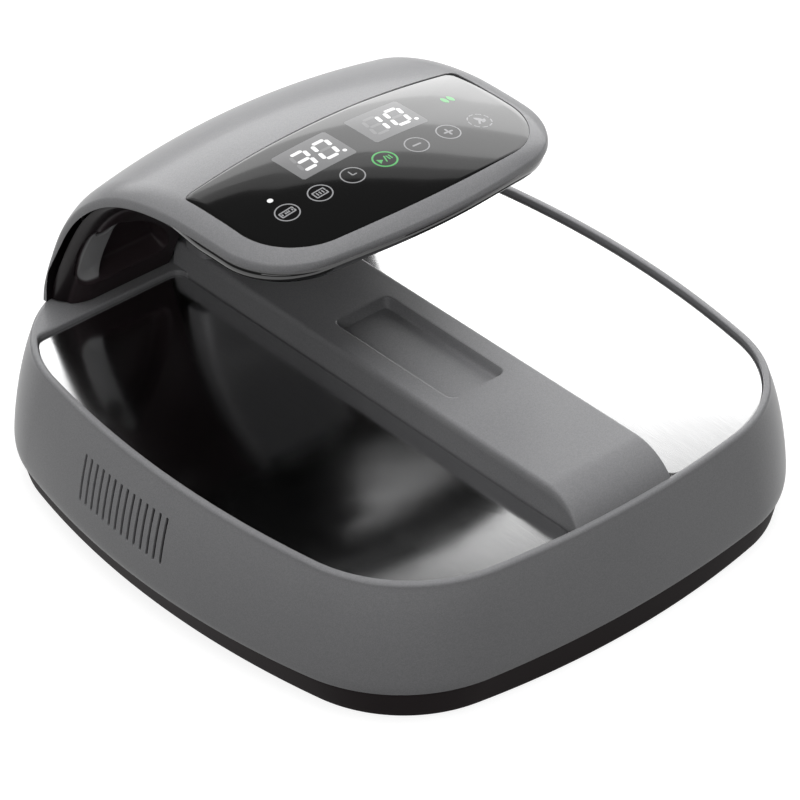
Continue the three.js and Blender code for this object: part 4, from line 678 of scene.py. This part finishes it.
def pan_skirt():
    """The dark skirt under the wall: the outline from the foot's to just inside the wall's, with a small
    round at both edges."""
    low, high, soft, within = FOOT_DROP, SKIRT_TOP - 0.3, 0.9, 2.4
    path = [(low, within)] + [(low + up, by) for by, up in round_edge(soft, 6)[::-1]]
    path += [(z, 0) for z in np.linspace(low + soft, high - soft, 12)[1:-1]]
    path += [(high - down, by) for by, down in round_edge(soft, 6)] + [(high, within), (low, within)]
    foot, head = SKIRT + 0.02, BODY - 1.88
    rows = [level(outline(lerp(foot, head, (z - low) / (high - low)) - by), z) for z, by in path]
    return [grid(np.array(rows), True)]


def foot_plate(side):
    """A sheet over the pocket's outline less its gap, with a small round along its upper edge. It falls
    towards the rim by the square of the way into its outer band."""
    loop, scales = pocket(PLATE_GAP) * [side, 1], np.linspace(0, 0.985, 40)
    rows = sheet_rows(loop, loop.mean(0), scales, PLATE_TOP - PLATE_SHEET, PLATE_TOP, 0.5)
    points = np.array([level(plan, z) for plan, z in rows])
    into = np.clip(1 + distance_to(outline(RIM - RIM_WIDTH), points[..., :2]) / PLATE_BAND, 0, 1)
    points[..., 2] -= PLATE_FALL * into**2
    return [grid(points, True)]


# ---- the hood ----

# Where on the crown line the ribs of the head start to fan out
HUB = crown_line.share_at_y(30)


def hood_point(x, share, edge, depth):
    """A point of the hood: on the crown line at a share of its length, lowered along the line's normal by
    the crown's arch, by the roll near the side edge and by a depth. The roll is a square of the way to the
    edge, with a tight round at the very edge."""
    y, z, wy, wz = crown_line.at(share)
    crown = arch(x, lerp(CROWN_HEAD, CROWN_FOOT, smoothstep(share, 0.6, 1)))
    near, fold = [np.clip(1 - edge / width, 0, 1) for width in (ROLL_WIDTH, FOLD_WIDTH)]
    bend = (1 - FOLD_SHARE) * near**2 + FOLD_SHARE * (1 - np.sqrt(1 - fold**2))
    roll = np.maximum(ROLL_DEEP * (1 - smoothstep(share, 0.8, 1)) - depth, 0) * bend
    down = crown + roll + depth
    return np.stack(np.broadcast_arrays(x, y + wz * down, z - wy * down), -1)


def hood_half(share):
    """Half width of the hood at a share of its length."""
    return lerp(HEAD_HALF, FOOT_HALF, smoothstep(share, 0.5, 1))


def hood_rail(inwards, last_y, steps):
    """Half outline of the head, front middle first, as x and share: the bowed front and round corner, then
    the side as far as last_y."""
    sizes = np.array([HEAD_HALF, HEAD_HALF, HEAD_CORNER, 2500, HEAD_BOW]) - inwards
    points = quarter(sizes, [0, 20], np.linspace(30, 0, 10), 40)[0][::-1]
    points = points[points[:, 1] > HEAD_CORNER * 0.3]
    centre = crown_line.at(0)[0] + HEAD_HALF
    head = np.column_stack([points[:, 0], crown_line.share_at_y(centre - points[:, 1])])
    along = np.linspace(head[-1, 1], crown_line.share_at_y(last_y), steps)[1:]
    return np.vstack([head, np.column_stack([hood_half(along) - inwards, along])])


def ribs_of(rail):
    """Ribs from the crown line out to a rail: the rail's x and share, the share of each rib's root, and the
    rib's length."""
    x, share = rail[:, :1], rail[:, 1:]
    root = np.maximum(share, HUB)
    return x, share, root, np.hypot(x, (root - share) * crown_line.length)


def glass_outline(grow=0.0):
    """Plan of the glass: a bowed front with round corners, straight sides and back, small rear corners."""
    half_depth, middle = (GLASS_REAR - GLASS_FRONT) / 2, (GLASS_REAR + GLASS_FRONT) / 2
    sizes = np.array([GLASS_HALF, half_depth, GLASS_CORNER, 1500, 430]) + grow
    front = quarter(sizes, [0, 1.5], np.linspace(30, 0, 12), 40)[0][::-1] * [1, -1]
    t = np.linspace(0, math.pi / 2, 9)
    centre = np.array([GLASS_HALF - GLASS_REAR_CORNER, half_depth - GLASS_REAR_CORNER])
    rear = centre + (GLASS_REAR_CORNER + grow) * np.stack([np.cos(t), np.sin(t)], 1)
    side = np.column_stack([np.full(6, GLASS_HALF + grow), np.linspace(0, rear[0, 1], 8)[1:-1]])
    last = np.column_stack([np.linspace(rear[-1, 0], 0, 30)[1:], np.full(29, rear[-1, 1])])
    half = np.vstack([front, side, rear, last])
    return np.vstack([half, half[1:-1][::-1] * [-1, 1]]) + [0, middle]


def crown_level(x, y, depth):
    """Height of the hood's skin over a point of the plan, less a depth."""
    return crown_line.at(crown_line.share_at_y(y))[1] - arch(x, CROWN_HEAD) - depth


def hood_skin():
    """The silver band: ribs fan out from a hub on the crown line round the head, beyond the window for the
    glass, and run straight across the arm. Each rib goes out over the skin, round the rolled edge and back
    along the inner face."""
    rail = hood_rail(0, GLASS_REAR + GLASS_GAP, 34)
    r = np.linspace(0.5, 1, 700)
    x, share, root, _ = ribs_of(rail)
    plan = np.stack([x * r, crown_line.at(lerp(root, share, r))[0]], -1)
    first = r[np.argmax(distance_to(glass_outline(GLASS_GAP), plan) > 0, axis=1)]
    first[-1] = (GLASS_HALF - GLASS_REAR_CORNER) / rail[-1, 0]
    out = np.hstack([[0, 0.02], np.sin(np.linspace(0.08, math.pi / 2, 34))])
    ribs = lerp(first[:, None], 1, out)
    edge_sink = 0.35
    sink = np.hstack([[edge_sink], np.zeros(len(out) - 1)])

    def skin(rail, r, depth):
        x, share, root, run = ribs_of(rail)
        points = hood_point(x * r, lerp(root, share, r), (1 - r) * run, depth)
        points[..., 2] = np.maximum(points[..., 2], HOOD_BASE)
        return points

    head = np.hstack([skin(rail, ribs, sink), skin(rail, ribs, HOOD_WALL)[:, ::-1]])
    # The inner face gets shade 1, so the paint turns it near black: partly the unpainted plastic inside the
    # hood, partly painted shade under the arm
    inside = np.hstack([np.zeros(ribs.shape[1] + 1), np.ones(ribs.shape[1] - 1)])
    start = rail[-1, 1]
    shares = np.hstack([[start, start + 0.3 / crown_line.length], np.linspace(start, 1, 130)[1:]])
    arm = np.column_stack([hood_half(shares), shares])
    inner = 16
    across = np.hstack([np.linspace(0, first[-1], inner)[:-1], ribs[-1]])[None]
    upper, lower = skin(arm, across, 0), skin(arm, across, HOOD_WALL)
    upper[0, :inner] = skin(arm[:1], across[:, :inner], edge_sink)[0]
    upper, lower = [np.hstack([face[:, 1:][:, ::-1] * [-1, 1, 1], face]) for face in (upper, lower)]
    count = across.shape[1]
    window = slice(count - inner, count + inner - 1)
    # Likewise the arm's lower face is drawn near black, but for its two ends: unpainted plastic and painted
    # shade
    under = np.ones(upper.shape[1])
    under[[0, -1]] = 0
    return [grid(head, True, 0, inside), grid(head * [-1, 1, 1], True, 0, inside),
            grid(np.hstack([upper, lower[:, ::-1]]), True, 0, np.hstack([0 * under, under])),
            grid(np.stack([upper[0, window], lower[0, window]])), grid(np.stack([upper[-1], lower[-1]]))]


def glass():
    """The touch glass: a sheet inside its outline that follows the hood's crown, with a round upper edge."""
    middle = np.array([0, (GLASS_FRONT + GLASS_REAR) / 2])
    scales = np.hstack([[0.0], np.linspace(0.06, 0.96, 16)])
    rows = sheet_rows(glass_outline(), middle, scales, -GLASS_LOW, -GLASS_SINK, 0.35)
    return [grid(np.array([np.column_stack([plan, crown_level(*plan.T, -z)]) for plan, z in rows]), True)]


def on_glass(plan, look, lift):
    """A thin plate on the glass over a grid of plan points, lifted a little."""
    top = np.concatenate([plan, crown_level(plan[..., 0], plan[..., 1], GLASS_SINK - lift)[..., None]], -1)
    return slab(top, top - [0, 0, MARK_SHEET], look)


def stroke(path, width, look, lift=MARK_LIFT, taper=0.0):
    """A line on the glass: three points across at each step of the path, narrowed to a round at its ends
    by the root of one less the square of the way into the taper."""
    path = np.asarray(path, float)
    steps = np.hstack([[0], np.cumsum(np.linalg.norm(np.diff(path, axis=0), axis=1))])
    even = np.linspace(0, steps[-1], max(14, int(steps[-1] / 0.5)))
    path = np.stack([np.interp(even, steps, path[:, k]) for k in (0, 1)], 1)
    way = unit(np.gradient(path, axis=0))
    side = np.stack([-way[:, 1], way[:, 0]], 1)
    ends = np.minimum(even, steps[-1] - even) / (taper or width / 2)
    half = width / 2 * np.sqrt(np.clip(1 - (1 - np.clip(ends, 0, 1)) ** 2, 0.02, 1))[:, None]
    return on_glass(np.stack([path - side * half, path, path + side * half], 1), look, lift)


def circle(x, y, radius, start=0, stop=360):
    """Points of an arc, angles in degrees from +x."""
    t = np.radians(np.linspace(start, stop, 60))
    return np.stack([x + radius * np.cos(t), y + radius * np.sin(t)], 1)


def lens(x, y, long, wide, lean, look, power=0.5):
    """A filled spot: half its width at each step along it is one less the square of the way from the middle,
    to a power: 0.5 for an ellipse, 1 for a leaf, with its tips on the line that leans from upright."""
    u = -np.cos(np.linspace(0, math.pi, 20))
    half = wide * np.maximum(1 - u**2, 0.002) ** power
    along = np.stack([u * long * math.sin(lean), u * long * math.cos(lean)], 1)
    over = half[:, None] * [math.cos(lean), -math.sin(lean)]
    middle = along + [x, y]
    return on_glass(np.stack([middle - over, middle, middle + over], 1), look, MARK_LIFT)


SEGMENTS = {"a": ((-1, 1), (1, 1)), "b": ((1, 1), (1, 0)), "c": ((1, 0), (1, -1)), "d": ((-1, -1), (1, -1)),
            "e": ((-1, 0), (-1, -1)), "f": ((-1, 1), (-1, 0)), "g": ((-1, 0), (1, 0))}
DIGITS = {"0": "abcdef", "1": "bc", "3": "abcdg"}


def display(x, y, digits):
    """A lit window with seven-segment digits: seven strokes per digit, which lean a little, lit or not, and
    a round point after the last."""
    u = np.linspace(-1, 1, 36)
    half_x, half_y, corner = 19.6, 14.5, 1.3
    into = np.clip((np.abs(u) * half_x - half_x + corner) / corner, 0, 1)
    reach = half_y - corner + corner * np.sqrt(1 - into**2)
    across = y + reach[:, None] * np.linspace(-1, 1, 16)
    parts = on_glass(np.stack(np.broadcast_arrays((x + u * half_x)[:, None], across), -1), WINDOW, 0.02)
    wide, tall, lean, trim = 4.9, 8.1, 0.175, 0.9
    for sign, off in zip(digits, (-7.5, 8.3)):
        for name, ends in SEGMENTS.items():
            # Unlit segments take the faint painted glow
            width, look = (2.6, LIGHT) if name in DIGITS[sign] else (2.2, UNLIT_PAINTED_GLOW)
            a, b = [np.array([x + off + px * wide + py * tall * lean, y + py * tall]) for px, py in ends]
            cut = trim / np.linalg.norm(b - a)
            parts += stroke([lerp(a, b, cut), lerp(b, a, cut)], width, look, 0.035, 1.1)
    return parts + lens(x + 15.6, y - 8.2, 1.35, 1.35, 0, LIGHT)


def frame_lines(half_x, half_y):
    """A rectangle's outline as one path, begun at the middle of a side."""
    corners = [(half_x, half_y), (-half_x, half_y), (-half_x, -half_y), (half_x, -half_y)]
    return [(half_x, 0)] + corners + [(half_x, 0)]


ICON_LINES = [
    [frame_lines(4.6, 1.9)] + [[(a, -0.9), (a, 0.9)] for a in (-3.4, -1.2, 0, 1.2, 3.4)],
    [frame_lines(3.9, 2.5)] + [[(a, -1.4), (a, 1.4)] for a in (-1.9, 0, 1.9)],
    [[(0, 4.2), (0, 0), (3.2, 0)]],
    [[(-0.6, -2.8), (1.4, 2.8)], [(2.4, -2.0), (2.4, 2.2)], [(4.1, -2.0), (4.1, 2.2)]],
    [[(-3.2, 0), (3.2, 0)]],
    [[(-3.4, 0), (3.4, 0)], [(0, -3.4), (0, 3.4)]],
    [[(-2.4, -3.0), (1.2, 2.0)]],
]


def touch_marks(y=11.1, pitch=23.65, ring=7.0):
    """The seven rings with their plain signs, the white lamp dot and the green mark. The middle ring is lit
    green, and the last is broken into arcs."""
    parts, play, leaf = [], 3, 6
    for index, lines in enumerate(ICON_LINES):
        x, look = (index - play) * pitch, GREEN if index == play else GREY
        arcs = [np.vstack([circle(x, y, ring), circle(x, y, ring)[1:3]])]
        if index == leaf:
            arcs = [circle(x, y, ring, start, start + 30) for start in range(0, 360, 40)]
        for arc in arcs:
            parts += stroke(arc, 1.1 if index == play else 0.75, look)
        for line in lines:
            parts += stroke([(x + a, y + b) for a, b in line], 1.3 if index > play else 0.85, look)
        if index == play:
            ahead = np.linspace(-4.6, -1.4, 8)
            tall = np.linspace(2.3, 0.05, 8)[:, None] * [-1, 0, 1]
            wedge = np.stack(np.broadcast_arrays(x + ahead[:, None], y + tall), -1)
            parts += on_glass(wedge, look, MARK_LIFT)
        if index == leaf:
            parts += lens(x + 0.6, y + 1.2, 3.6, 1.5, -0.6, look, 1.0)
            parts += lens(x + 2.2, y - 1.0, 2.4, 1.2, 0.9, look, 1.0)
    for x in (69.9, 74.3):
        parts += lens(x, 39.4, 3.3, 1.75, -0.12, GREEN, 0.7)
    return parts + lens(-71, 25.7, 1.75, 1.75, 0, LIGHT)


def lower_cover():
    """The glossy underside of the head: along each rib a flat top, a bead that is round above and below, and
    a belly that deepens inwards by one less the square of the way left. The bead thins out to the rear."""
    x, share, root, run = ribs_of(hood_rail(COVER_INSET, COVER_REAR, 30))

    def at(r, depth):
        return hood_point(x * r, lerp(root, share, r), ROLL_WIDTH, depth)

    upper = at(np.linspace(0, 1, 24)[None] * (1 - COVER_GROOVE / run), ROLL_DEEP + 0.3)
    thin = 0.95 * smoothstep(crown_line.at(share)[0], 35, 72)
    rim = COVER_LIP - (COVER_LIP - ROLL_DEEP - COVER_SOFT) * thin
    t = np.linspace(-math.pi / 4, math.pi / 2, 13)[None, :-1]
    lip = at(1 - COVER_SOFT * (1 - np.cos(t)) / run, rim - COVER_SOFT + COVER_SOFT * np.sin(t))
    inner = np.hstack([np.linspace(0, 0.8, 18), np.linspace(0.84, 0.98, 6)])[::-1][None]
    inner = np.minimum(inner, 1 - COVER_SOFT / run)
    bend = np.minimum((1 - inner) * run / COVER_REACH, 1)
    lower = at(inner, lerp(rim, COVER_BELLY, 1 - (1 - bend) ** 2))
    half = np.hstack([upper, lip, lower])
    end = np.broadcast_to([0, half[-1, 0, 1], half[-1, 0, 2] - 8], half[-1:].shape)
    half = np.vstack([half, end])
    return [grid(half), grid(half * [-1, 1, 1])]


# ---- the arm's lining and neck ----

def wing_lining(side):
    """The lining of one side of the arm: from the middle line out to the edge line by one less the root of
    one less the square of the way into the blend. The grip is dished in by the distance to its outline, and
    steps in deeper past a slanted crease. A round well holds the screw. The well and the outer flange get
    painted shade, and the scoop beyond the crease a pale painted highlight."""
    grip = catmull(GRIP, 160, True)[0] * [FOOT_HALF, HOOD_RISE] + [0, HOOD_BASE]
    share = np.linspace(0, 1, 200)
    bend = (hood_half(1 - share * 0.45) - HOOD_WALL - LINING_GAP - LINING_BLEND)[:, None]
    flat = np.linspace(0, 1, 96)[:-1][None]
    turn = np.sin(np.linspace(0, math.pi / 2, 40))[None]
    x = np.hstack([lerp(LINING_INNER, bend, flat), bend + LINING_BLEND * turn])
    blend = np.hstack([np.zeros(flat.shape), 1 - np.sqrt(1 - turn**2)])
    my, mz, wy, wz, ey, ez = [v[:, None] for v in lining_middle.at(share) + lining_edge.at(share)[:2]]
    y, z = lerp(my, ey, blend), lerp(mz, ez, blend)
    off = -distance_to(grip, np.stack([x, z], -1))
    bowl = np.sqrt(1 - (1 - np.clip(off / GRIP_ROUND, 0, 1)) ** 2)
    dish = GRIP_DEEP * bowl * smoothstep(off, -0.5, 1.5)
    dish = dish + GRIP_STEP * smoothstep(GRIP_CREASE - x, 0, 1.6) * smoothstep(off, 0.5, 5)
    scoop = smoothstep(off, 0.3, 3) * smoothstep(x - GRIP_CREASE, -0.4, 1.2)
    flange = smoothstep(x - bend, LINING_BLEND * 0.74, LINING_BLEND * 0.8)
    well = 1 - smoothstep(np.hypot(x - WELL_X, z - WELL_Z) - WELL_RADIUS, -0.8, 0.2)
    dish = dish + WELL_DEEP * well + FLANGE_STEP * flange

    def face(behind):
        return np.stack([side * x, y + wz * behind, np.maximum(z - wy * behind, HOOD_BASE)], -1)

    front, behind = face(dish), face(dish + LINING_WALL * (1 - 0.7 * flange))
    # Painted shade in the screw's well and along the outer flange; painted highlight on the scoop beyond the
    # crease
    shade = np.maximum(well, 0.8 * flange) - scoop * (1 - well)
    shade = np.hstack([shade, shade[:, ::-1]])
    return [grid(np.hstack([front, behind[:, ::-1]]), True, 0, shade),
            grid(np.stack([front[0], behind[0]])), grid(np.stack([front[-1], behind[-1]]))]


def neck():
    """The neck cover: along its own line a section with a slightly bowed front, round front corners and
    straight sides."""
    flat = NECK_HALF - NECK_CORNER
    t = np.linspace(0, math.pi / 2, 10)
    u = np.linspace(0, 1, 12)[:-1]
    x = np.hstack([flat * u, flat + NECK_CORNER * np.sin(t), [NECK_HALF, NECK_HALF]])
    bow = -NECK_DEEP * 0.06 * (1 - u**2)
    depth = np.hstack([bow, NECK_CORNER * (1 - np.cos(t)), [NECK_DEEP * 0.7, NECK_DEEP]])
    x, depth = np.hstack([-x[1:][::-1], x]), np.hstack([depth[1:][::-1], depth])
    share = np.linspace(0, 1, 90)
    y, z, wy, wz = [v[:, None] for v in neck_line.at(share)]
    return tube(np.stack(np.broadcast_arrays(x[None], y + wz * depth, z - wy * depth), -1))


# ---- the pieces ----

piece("shell_wall", wall_shell(), [SILVER], ["body_shell"])
piece("rear_deck", rear_deck(), [SILVER])
piece("raised_middle", ridge(), [SILVER])
piece("pan_skirt", pan_skirt(), [BLACK])
for side, word in ((-1, "left"), (1, "right")):
    piece(word + "_plate_sheet", foot_plate(side), [STEEL], [word + "_foot_plate"])
    piece(word + "_arm_lining", wing_lining(side), [LINING], [word + "_wing_insert"])
piece("hood_skin", hood_skin(), [SILVER], ["hood_shell"])
piece("glass_panel", glass(), [GLASS], ["touch_glass"])
piece("head_underside", lower_cover(), [GLOSS], ["head_lower_cover"])
piece("neck_skin", neck(), [SILVER], ["neck_cover"])
piece("time_window", display(-26.65, 40.5, "30"), MARKS)
piece("level_window", display(26.65, 40.5, "10"), MARKS)
piece("touch_marks", touch_marks(), MARKS)

# A carried node takes the first look that has a word of the node's name
CARRIED = [(BLACK, ("pan", "inlet", "switch", "fan")), (RUBBER, ("rubber",)), (SILICONE, ("seal", "pad")),
           (BOARD, ("board",)), (CORE, ("transformer",)), (LAMP, ("display", "thermostat")), (ZINC, ("",))]
for name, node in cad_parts.items():
    node.data.materials[0] = next(look for look, words in CARRIED if any(word in name for word in words))


# ---- floor, light and camera ----

def white_floor():
    """A very large floor. The camera and reflections see it white, by an even glow plus a grey lit part
    that keeps the object's soft shadow. Light that bounces off it meets a much darker grey."""
    look = Look("pale_floor")
    path = look.node("LightPath")
    eye, glossy = [Value(look, path.outputs["Is %s Ray" % kind]) for kind in ("Camera", "Glossy")]
    bounce = look.node("BsdfDiffuse", {"Color": (0.08, 0.08, 0.08, 1)})
    paint = look.node("BsdfDiffuse", {"Color": (0.3, 0.3, 0.3, 1)})
    glow = look.node("Emission", {"Color": (1, 1, 1, 1), "Strength": 0.86})
    white = look.node("AddShader", {0: glow.outputs[0], 1: paint.outputs[0]})
    both = look.node("MixShader", {0: eye + glossy, 1: bounce.outputs[0], 2: white.outputs[0]})
    look.node("OutputMaterial", {"Surface": both.outputs[0]})
    mesh = bpy.data.meshes.new("floor_sheet")
    mesh.from_pydata([(-30, -30, 0), (30, -30, 0), (30, 30, 0), (-30, 30, 0)], [], [(0, 1, 2, 3)])
    mesh.materials.append(look.material)
    obj = linked("floor_sheet", mesh)


def lamp(name, place, aim, width, height, watts, glossy=True):
    """A soft rectangular lamp that faces a point."""
    data = bpy.data.lights.new(name, "AREA")
    data.shape, data.size, data.size_y, data.energy = "RECTANGLE", width, height, watts
    obj = linked(name, data)
    obj.location = place
    obj.rotation_euler = (Vector(aim) - Vector(place)).to_track_quat("-Z", "Y").to_euler()
    obj.visible_glossy = glossy
    obj.visible_camera = False


# The softbox behind, in strips: lower and upper edge in metres, and watts. Then the lamps' places
BACK_STRIPS = ((0.6, 1.1, 28.0), (1.1, 1.5, 18.0), (1.5, 1.95, 13.0), (1.95, 2.2, 3.5), (2.2, 2.4, 1.3))
BACK_AWAY, BACK_WIDTH = 2.5, 4.0
TOP_PLACE, FILL_PLACE, AIM = (0, -0.12, 2.2), (-2.1, -1.2, 1.4), (0, 0, 0.1)

# The camera, fitted to the photograph: angles in degrees, distances in metres, pixels of an 800 frame
AZIMUTH, ELEVATION, DISTANCE, FOCAL, MIDDLE_X, MIDDLE_Y = -41.396, 35.702, 2.633, 4591.8, 393.83, 399.25
CAMERA_AIM = (-0.0002, 0.0034, 0.054)
turn, tilt = math.radians(AZIMUTH), math.radians(ELEVATION)
back = Vector((math.sin(turn) * math.cos(tilt), -math.cos(turn) * math.cos(tilt), math.sin(tilt)))
eye = bpy.data.cameras.new("photo_camera")
eye.sensor_width, eye.lens = 36.0, FOCAL * 36 / 800
eye.shift_x, eye.shift_y = (400 - MIDDLE_X) / 800, (MIDDLE_Y - 400) / 800
eye.clip_end = 100
camera = linked("photo_camera", eye)
camera.location = Vector(CAMERA_AIM) + back * DISTANCE
camera.rotation_euler = (-back).to_track_quat("-Z", "Y").to_euler()
scene.camera = camera

white_floor()
away = Vector((-back.x, -back.y, 0)).normalized()
for low, high, watts in BACK_STRIPS:
    middle = Vector((0, 0, (low + high) / 2))
    lamp("back_softbox_%d" % (low * 100), away * BACK_AWAY + middle, middle, BACK_WIDTH, high - low, watts)
lamp("top_softbox", TOP_PLACE, AIM, 2.0, 2.0, 43, False)
lamp("left_fill", FILL_PLACE, AIM, 1.6, 1.2, 13)

# An even white world, at a low strength
world = bpy.data.worlds.new("pale_world")
world.use_nodes = True
world.node_tree.nodes["Background"].inputs["Color"].default_value = (1, 1, 1, 1)
world.node_tree.nodes["Background"].inputs["Strength"].default_value = 0.12
scene.world = world
scene.view_settings.view_transform = "Standard"
